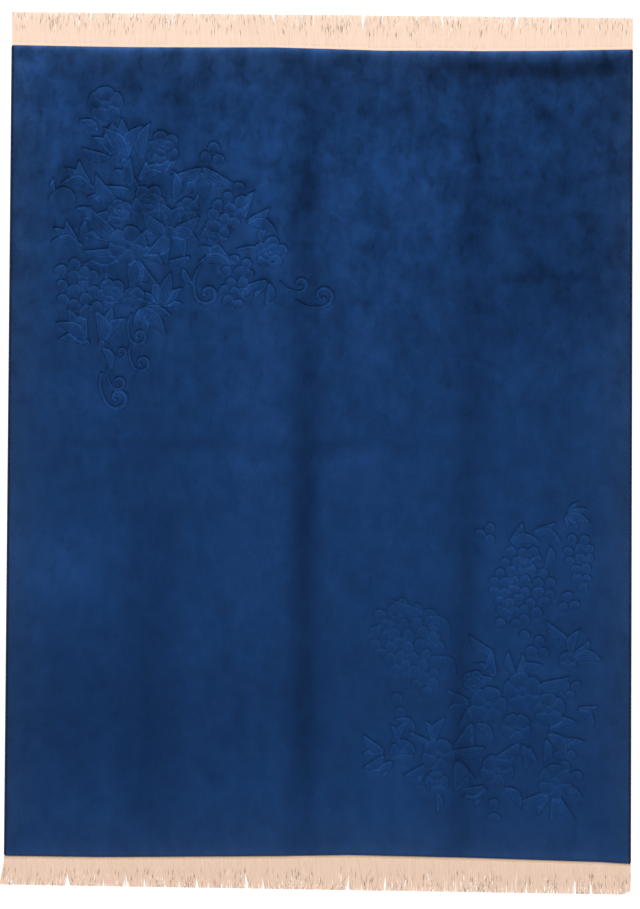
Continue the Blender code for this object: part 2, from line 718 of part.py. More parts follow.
def fringe(name, end, finish, collection):
    """A woven band along one end, with its strands lying on the floor."""
    left, right = (NEAR_LEFT, NEAR_RIGHT) if end < 0 else (FAR_LEFT, FAR_RIGHT)
    tips = NEAR_TIPS if end < 0 else FAR_TIPS
    xs = [left.real] + [spot.real for spot in ENDS[end]] + [right.real]
    ys = [left.imag] + [spot.imag for spot in ENDS[end]] + [right.imag]
    inner = [complex(x, y + end * GAP) for x, y in zip(xs, ys)]

    def outer_y(x):
        return float(np.interp(x, xs, ys)) + end * (GAP + BAND_WIDTH)

    bm = bmesh.new()
    inner_low = [bm.verts.new((spot.real, spot.imag, 0)) for spot in inner]
    inner_high = [bm.verts.new((spot.real, spot.imag, BAND_HEIGHT)) for spot in inner]
    low = [bm.verts.new((left.real, outer_y(left.real), 0))]
    high = [bm.verts.new((left.real, outer_y(left.real), BAND_HEIGHT))]
    pitch = (right.real - left.real) / STRANDS
    roots = []
    for k in range(STRANDS):
        x = left.real + (k + 0.5) * pitch
        half = STRAND_SECTIONS[0][1]
        foot = [bm.verts.new((x + off, outer_y(x + off), 0)) for off in (-half, half)]
        ridge = bm.verts.new((x, outer_y(x), BAND_HEIGHT))
        bm.faces.new((low[-1], foot[0], ridge, high[-1]))
        low += foot
        high.append(ridge)
        roots.append((x, foot + [ridge]))
    low.append(bm.verts.new((right.real, outer_y(right.real), 0)))
    high.append(bm.verts.new((right.real, outer_y(right.real), BAND_HEIGHT)))
    bm.faces.new((low[-2], low[-1], high[-1], high[-2]))
    for k in range(len(inner) - 1):
        bm.faces.new((inner_low[k], inner_low[k + 1], inner_high[k + 1], inner_high[k]))
    bm.faces.new((inner_low[0], low[0], high[0], inner_high[0]))
    bm.faces.new((inner_low[-1], low[-1], high[-1], inner_high[-1]))
    bm.faces.new(inner_low + low[::-1])
    bm.faces.new(inner_high + high[::-1])

    for k, (x, ring) in enumerate(roots):
        lean = strand_lean(end, x, left.real, right.real) + TIP_STRAY * math.sin(37.0 * k)
        start = outer_y(x)
        share = (x - left.real) / (right.real - left.real)
        stop = table_value(tips, share) + end * LENGTH_STRAY * math.sin(11.0 * k + 4.0 * math.sin(3.0 * k))
        for along_share, half, ridge in STRAND_SECTIONS[1:]:
            across = x + lean * along_share ** 1.3
            out = start + (stop - start) * along_share
            section = [bm.verts.new((across - half, out, 0)), bm.verts.new((across + half, out, 0)),
                       bm.verts.new((across, out, ridge))]
            for a in range(3):
                b = (a + 1) % 3
                bm.faces.new((ring[a], ring[b], section[b], section[a]))
            ring = section
        bm.faces.new(ring)
    return add_object(name, bm, finish, collection)


def main():
    for old in list(bpy.data.objects):
        bpy.data.objects.remove(old, do_unlink=True)
    rug = bpy.data.collections.new("pile_rug")
    bpy.context.scene.collection.children.link(rug)
    wool = material("blue_wool", WOOL_BLUE, 0.95)
    wrapped = material("blue_overcast", CORD_BLUE, 0.9)
    cotton = material("cream_cotton", COTTON_CREAM, 0.9)
    pile_field(wool, rug)
    side_cord("selvedge_left", -1, wrapped, rug)
    side_cord("selvedge_right", 1, wrapped, rug)
    fringe("fringe_near", -1, cotton, rug)
    fringe("fringe_far", 1, cotton, rug)


main()
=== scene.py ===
"""The looks of a carved wool pile rug that lies flat, with a cream fringe at both ends.

The solids give every place and size; here the pile gets its fine carving, painted shade for how it lies, and
its rounded edge, the side cords their wrapped yarn, the end bands their weave, and the fringes their threads.
"""
import cmath
import math
from collections import defaultdict, namedtuple

import bpy
import numpy as np
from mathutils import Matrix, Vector, noise
from mathutils.geometry import delaunay_2d_cdt
from mathutils.kdtree import KDTree


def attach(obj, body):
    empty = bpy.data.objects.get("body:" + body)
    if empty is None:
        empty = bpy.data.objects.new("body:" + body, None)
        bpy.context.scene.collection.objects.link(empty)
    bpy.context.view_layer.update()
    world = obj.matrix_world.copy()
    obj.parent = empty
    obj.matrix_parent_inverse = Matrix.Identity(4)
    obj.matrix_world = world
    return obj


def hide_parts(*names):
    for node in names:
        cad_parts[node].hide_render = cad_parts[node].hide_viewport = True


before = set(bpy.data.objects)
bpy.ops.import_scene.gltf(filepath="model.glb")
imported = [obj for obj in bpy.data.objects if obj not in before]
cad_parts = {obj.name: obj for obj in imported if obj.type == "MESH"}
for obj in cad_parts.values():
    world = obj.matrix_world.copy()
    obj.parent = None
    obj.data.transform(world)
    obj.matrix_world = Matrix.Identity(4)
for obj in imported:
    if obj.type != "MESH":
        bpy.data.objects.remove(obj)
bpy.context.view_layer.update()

# Corners of the woven rug, its side cords included, in metres
FAR_LEFT = complex(-1.213, 1.584)
FAR_RIGHT = complex(1.21, 1.584)
NEAR_LEFT = complex(-1.221, -1.576)
NEAR_RIGHT = complex(1.224, -1.592)
# By end, -1 near and 1 far, and by side, -1 left and 1 right
ENDS = {-1: (NEAR_LEFT, NEAR_RIGHT), 1: (FAR_LEFT, FAR_RIGHT)}
SIDES = {-1: (NEAR_LEFT, FAR_LEFT), 1: (NEAR_RIGHT, FAR_RIGHT)}

# How far each end bows in from its chord: share of the width from the left, inset
BOW = {
    1: ((0, 0), (0.1, 0.003), (0.2, 0.005), (0.3, 0.004), (0.42, 0.002), (0.5, 0.006),
        (0.6, 0.012), (0.68, 0.01), (0.76, 0.011), (0.86, 0.008), (0.95, 0.003), (1, 0)),
    -1: ((0, 0), (0.15, 0), (0.2, 0.002), (0.35, 0.009), (0.45, 0.014), (0.55, 0.021),
         (0.65, 0.019), (0.76, 0.016), (0.86, 0.011), (0.95, 0.007), (1, 0.001)),
}
END_STATIONS = 240
SIDE_STATIONS = 310

# The pile and the cords, from the floor up
GAP = 0.0003
CORD_WIDTH = 0.007
CORD_HEIGHT = 0.01
PILE_SIDE = CORD_WIDTH + GAP
BACK_TOP = 0.0014
PILE_FOOT = 0.0016
# The pile's corners: length of the cut, and how far its middle stands out for it
CORNER_CUT = 0.008
CORNER_ROUND = 0.2
# How far the back reaches under the cords, and the cut of its corners
UNDER_CORD = 0.0009
BACK_CORNER = 0.0006
# How far cords and bands end inside the corners, and their undersides' height
END_GAP = 0.0005
FLOOR_GAP = 0.0001
# The pile's rounded edge: inset, height
EDGE_PROFILE = ((0, 0.005), (0.002, 0.0078), (0.005, 0.0104), (0.01, 0.0129), (0.017, 0.0145), (0.028, 0.015))
# The cords: half sizes as shares of width and height, height of the ridges, how far round they keep it
CORD_HALF = (0.49, 0.46)
CORD_RIDGE = 0.06
CORD_OPEN = 0.75
# Slow swelling of a cord: height, waves for each wrap, start on either side
CORD_SWELL = (0.0075, 0.37, 1.7)
# How far the cords' ends bend in, and the wraps over which they round off
CORD_BEND = 0.004
CORD_ROUNDING = 1.2

# Soft troughs in the face: place of the line, its two ends, half width, depth
ACROSS_TROUGHS = ((0.026, -1.17, 0.31, 0.045, 0.001), (0.677, 0.62, 1.21, 0.04, 0.0008),
                  (1.507, 0.45, 1.21, 0.04, 0.0008))
LONG_TROUGHS = ((-0.058, -1.6, 1.6, 0.07, 0.002), (0.57, -1.6, 1.6, 0.06, 0.0014),
                (-0.67, -1.6, 0.1, 0.05, 0.001))
# Length over which a trough fades at its ends, and the reach of its slope for its half width
TROUGH_FADE = 0.1
TROUGH_SLOPE = 0.55
# Uneven shearing: height of the swells, length of the waves
SWELLS = ((0.00035, 0.055), (0.0002, 0.026))

# The carving
UPPER_HEART = complex(-0.668, 0.809)
LOWER_HEART = complex(0.71, -1.015)
LINE_STEP = 0.006
SAMPLE_STEP = 0.0022
# Rows of points beside the lines: offset, least spacing to any other point
LINE_ROWS = ((0.0, 0.003), (0.002, 0.0017), (0.0045, 0.0028), (0.009, 0.0056))
# Depth and half width: the cut itself, the soft shoulders beside it, and the veins
OUTLINE_CUT = (0.0022, 0.0026)
MOTIF_SHOULDER = (0.0024, 0.008)
GROUND_SHOULDER = (0.0008, 0.0045)
VEIN_CUT = (0.0014, 0.0024)
# Painted shade beside a line: gain of the painted rim highlight, its place and reach; loss to painted shade
# in the cut, its reach
RIM_PAINTED_HIGHLIGHT = (0.7, 0.004, 0.0027)
CUT_PAINTED_SHADE = (0.3, 0.0022)
VEIN_PAINTED_HIGHLIGHT = (0.3, 0.0034, 0.0022)
VEIN_PAINTED_SHADE = (0.22, 0.0018)
# The net of points over the field: reach, steps, margin of the sprays
NET_REACH = (1.23, 1.6)
SPRAY_STEP = 0.013
FIELD_STEP = 0.019
SPRAY_MARGIN = 0.03
# Rows of the net, and the least spacing in it, as shares of its step
NET_ROWS = 0.87
NET_SPACING = 0.68

# How bold the carving (depth, painted highlight and shade) and how dark the cuts' painted shade are in each
# spray
UPPER_BOLD = 1.28
LOWER_BOLD = 0.84
LOWER_CUT_SHADE = 1.35
# A bunch that is carved more softly: place, half sizes, share
SOFT_BUNCH = (0.36, -0.76, 0.19, 0.24, 0.35)

# The end bands: height at rest, in the weave and lost at the edges, as shares; waver of the outer edge
BAND_WIDTH = 0.01
BAND_HEIGHT = 0.0033
BAND_SHARES = (0.86, 0.08, 0.05)
BAND_WAVER = (0.0006, 61)
# Layers of threads: count, steps, sides, width over height, rise, half height, loose threads
THREAD_LAYERS = ((620, 8, 4, 3.4, 0.0, 0.0007, 0), (1120, 11, 5, 2.7, 0.0008, 0.0006, 90))
LAYER_DEPTH = 0.0007
LOOSE_RISE = 0.0008
# The roots: height, how far they reach into the band, and where along a thread the band ends
ROOT_HEIGHT = 0.0014
ROOT_INSET = 0.003
BAND_EXIT = 0.045
# Painted highlight that pales the tips at each end: gain, and how close to the tips it keeps
TIP_PAINTED_HIGHLIGHT = {1: (0.02, 24), -1: (0.14, 12)}
# Where the tips end: share of the width from the left, y
TIPS = {1: ((0, 1.714), (1, 1.707)), -1: ((0, -1.689), (0.5, -1.7), (0.985, -1.711), (1, -1.697))}
# Slow sways: swing at the tips, radians over the rug's width, radians of start
SWAYS = ((0.006, 9.0, 1.0), (0.004, 23.0, 2.0))
# The near left corner's flare and its reach, and the share of the width where sways calm down
FLARE = 0.02
FLARE_REACH = 0.1
EDGE_CALM = 0.04
# Spreads: the lean of threads and of loose ones, their waver, their length
LEAN_SPREAD = 0.0012
LOOSE_SPREAD = 0.02
WAVER_SPREAD = 0.0006
TIP_SPREAD = 0.0005
# Threads that end short: chance, and by how much at the most
SHORT_CHANCE = 0.1
SHORT_BY = 0.005
# How far tangled threads wander at each end
TANGLE_SWING = {1: 1.9, -1: 2.6}
# Dark marks, painted shadow of tangled threads and dirt: chance at each end, for each metre of tangle, and on
# a loose thread
MARK_CHANCE = {1: 0.1, -1: 0.17}
MARK_TANGLE = 120
MARK_LOOSE = 0.6
# How dark they are at least and at most, and their reach as a share of the thread
MARK_DARK = (0.4, 0.9)
MARK_REACH = 0.07
# Partings: thousandths of the width, lean of each side in tenths of a millimetre, start along the threads
PARTINGS = {1: (
    (98, 18, 0.5), (127, 24, 0.4), (156, 12, 0.4), (294, 18, 0.3), (302, 24, 0.3), (365, 12, 0.5),
    (424, 60, 0.35), (487, 24, 0.4), (498, 18, 0.4), (510, 18, 0.5), (565, 120, 0.4), (581, 20, 0.5),
    (597, 30, 0.3), (614, 18, 0.4), (693, 55, 0.4), (710, 26, 0.3), (810, 60, 0.35), (912, 22, 0.45),
), -1: (
    (16, 24, 0.4), (86, 24, 0.5), (101, 170, 0.45), (133, 18, 0.6), (157, 36, 0.5), (181, 30, 0.55),
    (193, 130, 0.3), (223, 80, 0.5), (256, 30, 0.7), (279, 32, 0.5), (308, 85, 0.6), (325, 16, 0.3),
    (347, 22, 0.55), (358, 28, 0.7), (385, 95, 0.35), (411, 70, 0.5), (507, 16, 0.7), (540, 30, 0.6),
    (552, 120, 0.4), (562, 20, 0.15), (610, 50, 0.3), (679, 28, 0.4), (704, 22, 0.4), (744, 22, 0.6),
    (768, 24, 0.6), (803, 28, 0.5), (834, 65, 0.4), (872, 50, 0.6), (909, 95, 0.35), (934, 105, 0.55),
    (977, 22, 0.3),
)}
# How far a parting reaches, and how much of it the lower layer follows
PARTING_REACH = 0.022
UNDER_SHARE = 0.6
# Tangled stretches: place and half width in thousandths of the width, waver in millimetres
TANGLES = {1: (
    (18, 12, 4), (65, 18, 5), (114, 16, 4), (159, 9, 3), (190, 14, 4), (253, 20, 4), (318, 11, 3),
    (346, 14, 4), (443, 7, 3), (463, 10, 4), (510, 8, 3), (537, 11, 5), (579, 9, 5), (620, 9, 4),
    (650, 11, 4), (705, 14, 4), (757, 6, 3), (792, 12, 4), (830, 10, 4), (853, 7, 3), (885, 10, 4),
    (947, 12, 5), (990, 10, 3),
), -1: (
    (10, 10, 3), (128, 16, 3), (247, 18, 3), (290, 14, 3), (370, 14, 3), (465, 36, 3), (540, 11, 4),
    (630, 11, 4), (682, 12, 4), (755, 32, 4), (870, 12, 3), (925, 14, 4), (982, 11, 3),
)}

# Painted shade of how the nap lies: patches, as place and half sizes in millimetres, and change of shade in
# hundredths
NAP_PAINTED_SHADE = (
    (-58, -450, 60, 1220, -36), (592, 800, 60, 1050, -22), (560, -950, 55, 900, -26),
    (-78, 970, 50, 200, -32), (-30, 1360, 85, 220, -20), (-200, 980, 85, 220, 12), (500, 980, 60, 200, 10),
    (-640, -800, 120, 850, -20), (-250, 600, 130, 1100, 12), (-220, -500, 150, 1200, 5),
    (130, 950, 110, 350, 15), (260, 1100, 120, 180, 20), (200, 200, 120, 500, 8), (950, 850, 350, 450, -20),
    (900, 620, 330, 100, -10), (1020, 1300, 220, 130, -8), (-1020, -460, 260, 140, 28),
    (-900, -1020, 420, 260, -20), (-100, -980, 380, 220, -10), (850, -440, 420, 130, 12),
    (150, -1450, 950, 120, 3), (-1130, 1380, 140, 220, 28), (-900, 980, 500, 100, -10),
    (-850, 1220, 300, 80, 8), (880, 1505, 450, 40, -58), (-350, 1470, 700, 20, -12),
    (-400, 30, 750, 26, -13), (-140, -45, 450, 18, 9), (920, 677, 300, 20, -16), (-1000, 220, 250, 90, 8),
    (330, -1300, 180, 300, 8), (-850, 600, 300, 100, 6), (1120, 300, 120, 200, 6),
    (-380, -1050, 200, 280, -6), (-1100, 1525, 90, 30, 60), (-136, 1520, 100, 30, -38),
    (1150, 1420, 70, 50, -32), (-430, 1170, 170, 190, 18), (500, 1085, 170, 80, 15),
    (750, -1200, 420, 170, -8), (-530, -730, 90, 330, 10),
)
# How far the patches' outlines drift, across and along the rug
NAP_SHADE_DRIFT = (0.022, 0.03)
# The mottling, random tone and painted shade for how the nap lies, is bolder towards the far end: place along
# the rug, strength
MOTTLE_AND_NAP_SHADE = ((-1.6, 0.45), (-0.6, 0.45), (0.1, 0.55), (0.55, 0.95), (1.1, 1.3), (1.6, 1.5))
# The rims of the pile catch the light, as a painted highlight: gain at each end, reach
RIM_GAIN = {1: 1.35, -1: 0.9}
RIM_GLOW = 0.014
# How far in from the outline the wool is greyer with painted glare
GLARE_REACH = 0.09

# The camera: the view's height and centre are measured on the floor
CAMERA_LENS = 85
SENSOR_WIDTH = 36
VIEW_HEIGHT = 3.545
VIEW_CENTRE = (0.0006, -0.0037)
CAMERA_ROLL = 0.4

# Light; angles in degrees
SUN_STRENGTH = 2.8
SUN_SPREAD = 22
SUN_TILT = 52
SUN_SIDE = 5
SURROUND = 0.62
# The floor: half size, drop below the rug, its own light
FLOOR_REACH = 40
FLOOR_DROP = 0.0004
FLOOR_GLOW = 0.75

# Colours as linear red, green, blue
WHITE = (1.0, 1.0, 1.0)
WOOL_DEEP = (0.0053, 0.0291, 0.104)
WOOL_LIGHT = (0.0085, 0.0364, 0.1226)
# Wool greyed by painted glare near the outline
WOOL_PAINTED_GLARE = (0.013, 0.0374, 0.106)
WOOL_SHEEN = (0.35, 0.55, 1.0)
KNOTS = ((0.02, 0.06, 0.16), (0.014, 0.045, 0.13))
WEFT = (0.2, 0.19, 0.2)
CORD_DEEP = (0.012, 0.024, 0.062)
CORD_LIGHT = (0.02, 0.036, 0.092)
# The far cotton is painted lighter and the near cotton darker, as painted light and shade for the light's
# fall
LIT_FAR_COTTON = ((0.9, 0.695, 0.568), (0.88, 0.655, 0.512))
SHADED_NEAR_COTTON = ((0.77, 0.575, 0.455), (0.73, 0.522, 0.398))
LIT_FAR_BAND = ((0.95, 0.7, 0.54), (0.92, 0.66, 0.48))
SHADED_NEAR_BAND = ((0.74, 0.53, 0.38), (0.67, 0.46, 0.32))
FLOOR_GREY = (0.4, 0.4, 0.4)

# A closed outline and the lines within it
Shape = namedtuple("Shape", "outline veins")

# Florets in each row of a bunch from its stalk down, by form
BUNCH_ROWS = {1: (1, 2, 3, 3, 2), 2: (2, 3, 2, 3, 2), 3: (2, 3, 4, 3, 2), 4: (3, 4, 5, 6, 6, 5, 4, 2),
              5: (2, 3, 3, 2, 2, 1), 6: (3, 5, 6, 6, 5, 5, 4, 3, 2)}
LEAF_BROAD = 0.37
# A leaf this long has side veins too
VEINED_LENGTH = 0.105
FAN_STEP = 39
FAN_FOOT = 0.1
FAN_LENGTHS = (1.0, 0.84, 0.93)
STEM_WIDTH = 0.009


def along(degrees):
    """A unit step in a direction, as a complex number."""
    return cmath.rect(1.0, math.radians(degrees))


def disc(centre, radius, sides=16):
    """A roundish shape, each a little uneven in its own way."""
    lay = 3600 * (centre.real + 0.7 * centre.imag)
    ring = []
    for k in range(sides):
        angle = 360 * k / sides
        uneven = 1 + 0.055 * along(2 * angle + lay).real + 0.04 * along(3 * angle + 2 * lay).real
        ring.append(centre + radius * uneven * along(angle))
    return Shape(ring, [])


def leaf(at, turn, length, form=1, broad=LEAF_BROAD, steps=10):
    """A pointed leaf from its stalk, with a midrib; form 1 bends left, 2 right, 0 not at all."""
    hand = (0, 1, -1)[form]
    ahead = along(turn)

    def spot(t, side):
        bend = hand * (0.11 * math.sin(math.pi * t) - 0.06 * t ** 3)
        half = 0.5 * broad * math.sin(math.pi * t ** 0.85) * (1 + 0.1 * hand * side)
        return at + ahead * length * complex(t, bend + side * half)

    right = [spot(k / steps, -1) for k in range(steps + 1)]
    left = [spot(k / steps, 1) for k in range(steps - 1, 0, -1)]
    veins = [[spot(0.06 + 0.78 * k / steps, 0) for k in range(steps + 1)]]
    if length > VEINED_LENGTH:
        for side in (0.5, -0.5):
            veins.append([spot(0.2 + 0.5 * k / steps, side) for k in range(steps + 1)])
    return [Shape(right + left, veins)]


def fan(at, turn, size, form):
    """Leaves spread about one stalk."""
    made = []
    for k in range(form):
        skew = (k - (form - 1) / 2) * FAN_STEP + 7 * math.sin(5 * k + turn)
        foot = at + FAN_FOOT * size * along(turn + skew)
        made += leaf(foot, turn + skew, (FAN_LENGTHS[k % 3] - FAN_FOOT) * size, 1 + k % 2)
    return made


def petal(at, turn, length, width, steps=14):
    """A round-ended petal, narrow at its foot."""
    ring = []
    for k in range(steps):
        reach = 0.5 - 0.5 * math.cos(2 * math.pi * (k + 0.5) / steps)
        spread = -0.5 * math.sin(2 * math.pi * (k + 0.5) / steps) * (0.45 + 0.55 * reach ** 0.7)
        notch = 0.11 * math.exp(-(spread / 0.09) ** 2) * (reach > 0.5)
        ring.append(at + along(turn) * complex(length * (reach - notch), width * spread))
    return Shape(ring, [])


def blossom(at, turn, size, form):
    """Round petals about a small eye."""
    made = [disc(at, 0.12 * size, 10)]
    for k in range(form):
        angle = turn + 360 * k / form + 5 * math.sin(9 * k + turn)
        width = 1.06 * size * math.sin(math.pi / form)
        made.append(petal(at + 0.04 * size * along(angle), angle, 0.475 * size, width))
    return made


def rose(at, turn, size, form):
    """A full bloom: its heart, the inner petals and five outer ones."""
    made = [disc(at, 0.085 * size, 10)]
    for count, reach, radius, skew in ((form, 0.13, 0.18, 0), (5, 0.28, 0.225, 24)):
        for k in range(count):
            centre = at + reach * size * along(turn + skew + 360 * k / count)
            made.append(disc(centre, radius * size * (1 + 0.07 * math.sin(7 * k + turn))))
    return made


def lily(at, turn, size, form):
    """Long pointed petals about a round eye."""
    made = [disc(at, 0.1 * size, 12)]
    for k in range(form):
        long = 0.5 * size * (1 + 0.08 * math.sin(4 * k + turn))
        made += leaf(at, turn + 360 * k / form, long, 1 + k % 2, 0.4)
    return made


def tulip(at, turn, size, form):
    """A cup seen from the side: two outer petals over one or more inner ones."""
    made = [disc(at, 0.09 * size, 10)]
    made += leaf(at, turn + 25, 0.92 * size, 2, 0.35)
    made += leaf(at, turn - 25, 0.92 * size, 1, 0.35)
    made += leaf(at, turn, size, 0, 0.18 * form)
    return made


def fruit(at, turn, size, form):
    """A plum with its cleft and one small leaf."""
    ring = []
    for k in range(20):
        away = 18 * k - 180
        dent = 1 - 0.16 * math.exp(-((away / 28) ** 2))
        ring.append(at + 0.5 * size * dent * along(turn + 18 * k))
    cleft = [at + size * along(turn) * complex(-0.4 + 0.09 * k, 0.08 * math.sin(math.pi * k / 6))
             for k in range(7)]
    stalk = at - 0.4 * size * along(turn)
    return [Shape(ring, [cleft])] + leaf(stalk, turn + 150, 0.5 * size, form)


def berry(at, turn, size, form):
    """One round floret."""
    return [disc(at, 0.5 * size)]


def trio(at, turn, size, form):
    """A few florets side by side about one point."""
    return [disc(at + 0.62 * size * along(turn + 360 * k / form), 0.5 * size) for k in range(form)]


def bunch(at, turn, size, form):
    """Staggered rows of florets hanging from a stalk."""
    made = []
    for i, count in enumerate(BUNCH_ROWS[form]):
        for j in range(count):
            wander = 0.17 * size * math.sin(12.9 * i + 7.7 * j)
            down = 0.93 * size * i + 0.8 * wander + 0.12 * size * math.sin(3.1 * j + i)
            aside = (j - (count - 1) / 2) * 1.03 * size + wander
            radius = 0.5 * size * (1 + 0.09 * math.sin(5.1 * i + 3.3 * j))
            made.append(disc(at + along(turn) * complex(down, aside), radius, 12))
    return made


def ivy(at, turn, size, form):
    """A lobed leaf: its points fan out from the stalk, the middle one longest."""
    made = []
    for k in sorted(range(form), key=lambda k: abs(k - (form - 1) / 2)):
        off = k - (form - 1) / 2
        made += leaf(at, turn + 34 * off, size * (1 - 0.19 * abs(off)), 0, 0.36)
    return made


def strip(line, widths):
    """A closed strip about a line of points."""
    sides = []
    for i in range(len(line)):
        step = line[min(i + 1, len(line) - 1)] - line[max(i - 1, 0)]
        sides.append(0.5j * widths[i] * step / abs(step))
    left = [spot + side for spot, side in zip(line, sides)]
    right = [spot - side for spot, side in zip(line, sides)]
    return Shape(right + left[::-1], [])


def scroll(at, turn, size, form, tail=5, curl=30):
    """A tendril: it runs straight, then curls in about its eye; form is its hand."""
    line = []
    for k in range(tail):
        line.append(complex(size * k / tail, -0.12 * form * size * math.sin(math.pi * k / tail)))
    for k in range(curl + 1):
        inward = 0.5 * size * (1 - 0.74 * (k / curl) ** 0.8)
        line.append(complex(size, 0.5 * form * size) + inward * along(form * (400 * k / curl - 90)))
    count = len(line)
    widths = [size * (0.07 + 0.12 * min(1, 2.9 * k / count)) * (1 - 0.45 * k / count) for k in range(count)]
    line = [at + spot * along(turn) for spot in line]
    return [disc(line[-1], 0.085 * size, 10), strip(line, widths)]


def stem(at, turn, size, form, steps=8):
    """A thin bowed stalk."""
    line = [at + size * along(turn) * complex(k / steps, 0.1 * form * math.sin(math.pi * k / steps))
            for k in range(steps + 1)]
    return [strip(line, [STEM_WIDTH] * (steps + 1))]


# The sprays, front to back: kind, place about the heart, turn in degrees, size, form
# Places and sizes are in millimetres; form is a count of petals or leaves, a hand, or a kind of bunch
UPPER_SPRAY = (
    (blossom, -86, 0, 80, 150, 6), (lily, 75, 50, -15, 250, 9), (rose, -5, 170, 30, 135, 3),
    (rose, -120, 130, 80, 100, 3), (blossom, 145, 140, 20, 90, 5), (fan, -84, -20, 268, 180, 5),
    (fan, -98, 8, 176, 200, 3), (fan, -112, 140, 164, 170, 3), (fan, -66, 215, 138, 130, 3),
    (fan, -52, 240, 40, 115, 2), (leaf, 90, 180, 86, 110, 2), (blossom, -176, 545, 90, 140, 5),
    (tulip, -100, 320, 94, 175, 2), (leaf, -30, 330, 82, 150, 1), (fan, -140, 336, 128, 145, 3),
    (rose, 50, 380, 10, 135, 3), (leaf, -30, 296, 16, 120, 2), (trio, 242, 352, 200, 46, 3),
    (leaf, 200, 300, 197, 125, 1), (leaf, 205, 303, -30, 140, 2), (fruit, 188, 238, 90, 94, 1),
    (tulip, -228, 222, 143, 130, 2), (fruit, -343, 170, -50, 108, 1), (leaf, -290, 140, -30, 90, 1),
    (tulip, -272, -4, 146, 125, 2), (bunch, 345, 225, 244, 47, 1), (fan, 365, 90, 30, 140, 3),
    (rose, 255, 50, 15, 110, 3), (tulip, 318, -70, 152, 145, 2), (rose, 470, -30, 60, 132, 3),
    (stem, 335, -20, 2, 115, 1), (bunch, 350, -60, 260, 43, 2), (fan, 468, -132, 228, 115, 3),
    (scroll, 509, -139, -34, 70, 1), (scroll, 571, -214, -16, 95, 1), (scroll, 200, -75, 256, 105, 1),
    (leaf, 158, -45, 194, 90, 1), (rose, -148, -190, 20, 115, 3), (blossom, -60, -205, 40, 85, 4),
    (bunch, -325, -90, 300, 50, 3), (ivy, 45, -235, 74, 135, 5), (ivy, -20, -240, 308, 140, 5),
    (tulip, -245, -385, 118, 155, 2), (tulip, -185, -385, 74, 150, 2), (leaf, -240, -388, 168, 115, 2),
    (scroll, -68, -270, 262, 82, 1), (scroll, -66, -375, 268, 84, 1), (leaf, -182, -400, 294, 100, 1),
    (scroll, -160, -385, 300, 56, 1), (scroll, -158, -470, 274, 70, 1), (scroll, -184, -500, 276, 104, 1),
    (leaf, -203, 438, 146, 90, 2), (leaf, 430, 10, 66, 80, 1), (leaf, 15, 290, 30, 110, 2),
    (leaf, -240, 10, 100, 90, 1), (leaf, 130, -90, 300, 80, 2), (stem, -40, -220, -14, 80, 1),
    (stem, -80, 280, 290, 120, 1), (stem, -150, 480, 282, 130, 1),
)
LOWER_SPRAY = (
    (blossom, -47, 40, 70, 145, 5), (blossom, 86, 95, 30, 150, 5), (blossom, 188, 25, 90, 130, 5),
    (blossom, 62, -48, 50, 118, 5), (rose, -105, 130, 40, 92, 3), (fan, -15, 140, 134, 120, 3),
    (leaf, -20, 235, 146, 130, 1), (fan, 60, 150, 66, 115, 3), (fan, -110, 50, 200, 115, 3),
    (fan, -105, -20, 276, 125, 3), (leaf, -60, -125, 188, 130, 1), (leaf, 142, 118, 12, 135, 2),
    (fan, 175, -60, 346, 140, 3), (leaf, 178, -90, 268, 95, 1), (fan, 86, -100, 246, 125, 3),
    (blossom, 262, 212, 40, 75, 4), (leaf, 262, 300, 144, 112, 1), (fan, 268, 225, 34, 130, 3),
    (trio, 272, 105, 30, 40, 3), (fan, 292, 32, 336, 105, 2), (bunch, 78, 640, 269, 42, 4),
    (berry, 0, 412, 0, 40, 1), (berry, -2, 360, 0, 42, 1), (berry, 93, 314, 0, 40, 1),
    (trio, 145, 262, 80, 44, 3), (trio, -58, 706, 60, 42, 3), (fan, 22, 664, 36, 130, 2),
    (fan, 110, 716, 6, 130, 2), (leaf, 190, 660, 258, 95, 1), (ivy, 255, 790, 338, 98, 5),
    (bunch, 295, 690, 275, 41, 5), (trio, 262, 440, 100, 41, 3), (leaf, -300, 400, 162, 130, 1),
    (leaf, -285, 385, -44, 130, 1), (bunch, -430, 410, 297, 46, 6), (leaf, -410, 330, 174, 90, 2),
    (leaf, -240, 230, -46, 100, 1), (berry, -402, 62, 0, 46, 1), (berry, -390, 10, 0, 42, 1),
    (blossom, -240, -155, 60, 130, 5), (blossom, -380, -145, 20, 100, 5), (fan, -262, -112, 112, 115, 3),
    (fan, -440, -150, 178, 120, 3), (fan, -400, -110, 84, 92, 2), (fan, -410, -175, 226, 105, 2),
    (fan, -282, -190, 222, 105, 2), (blossom, -245, -262, 90, 92, 4), (leaf, -245, -300, 272, 82, 1),
    (fan, -170, -165, 294, 130, 2), (leaf, -150, -290, 8, 95, 2), (blossom, -12, -215, 54, 130, 5),
    (fan, -40, -280, 220, 115, 2), (leaf, 15, -280, 312, 110, 1), (blossom, 215, -255, 30, 135, 6),
    (trio, 252, -168, 30, 43, 3), (berry, 300, -235, 0, 46, 1), (fan, 208, -290, 272, 140, 5),
    (leaf, 145, -180, 118, 70, 1), (leaf, 235, -130, 20, 100, 1), (leaf, -330, -60, 150, 95, 2),
    (leaf, -120, -230, 230, 90, 1), (berry, -23, -345, 0, 42, 1), (berry, -22, -400, 0, 46, 1),
)


def spray_shapes(rows, heart):
    """Every motif of one spray as shapes on the rug, the foremost first."""
    made = []
    for kind, x, y, turn, size, form in rows:
        made += kind(heart + complex(x / 1000, y / 1000), turn, size / 1000, form)
    return made


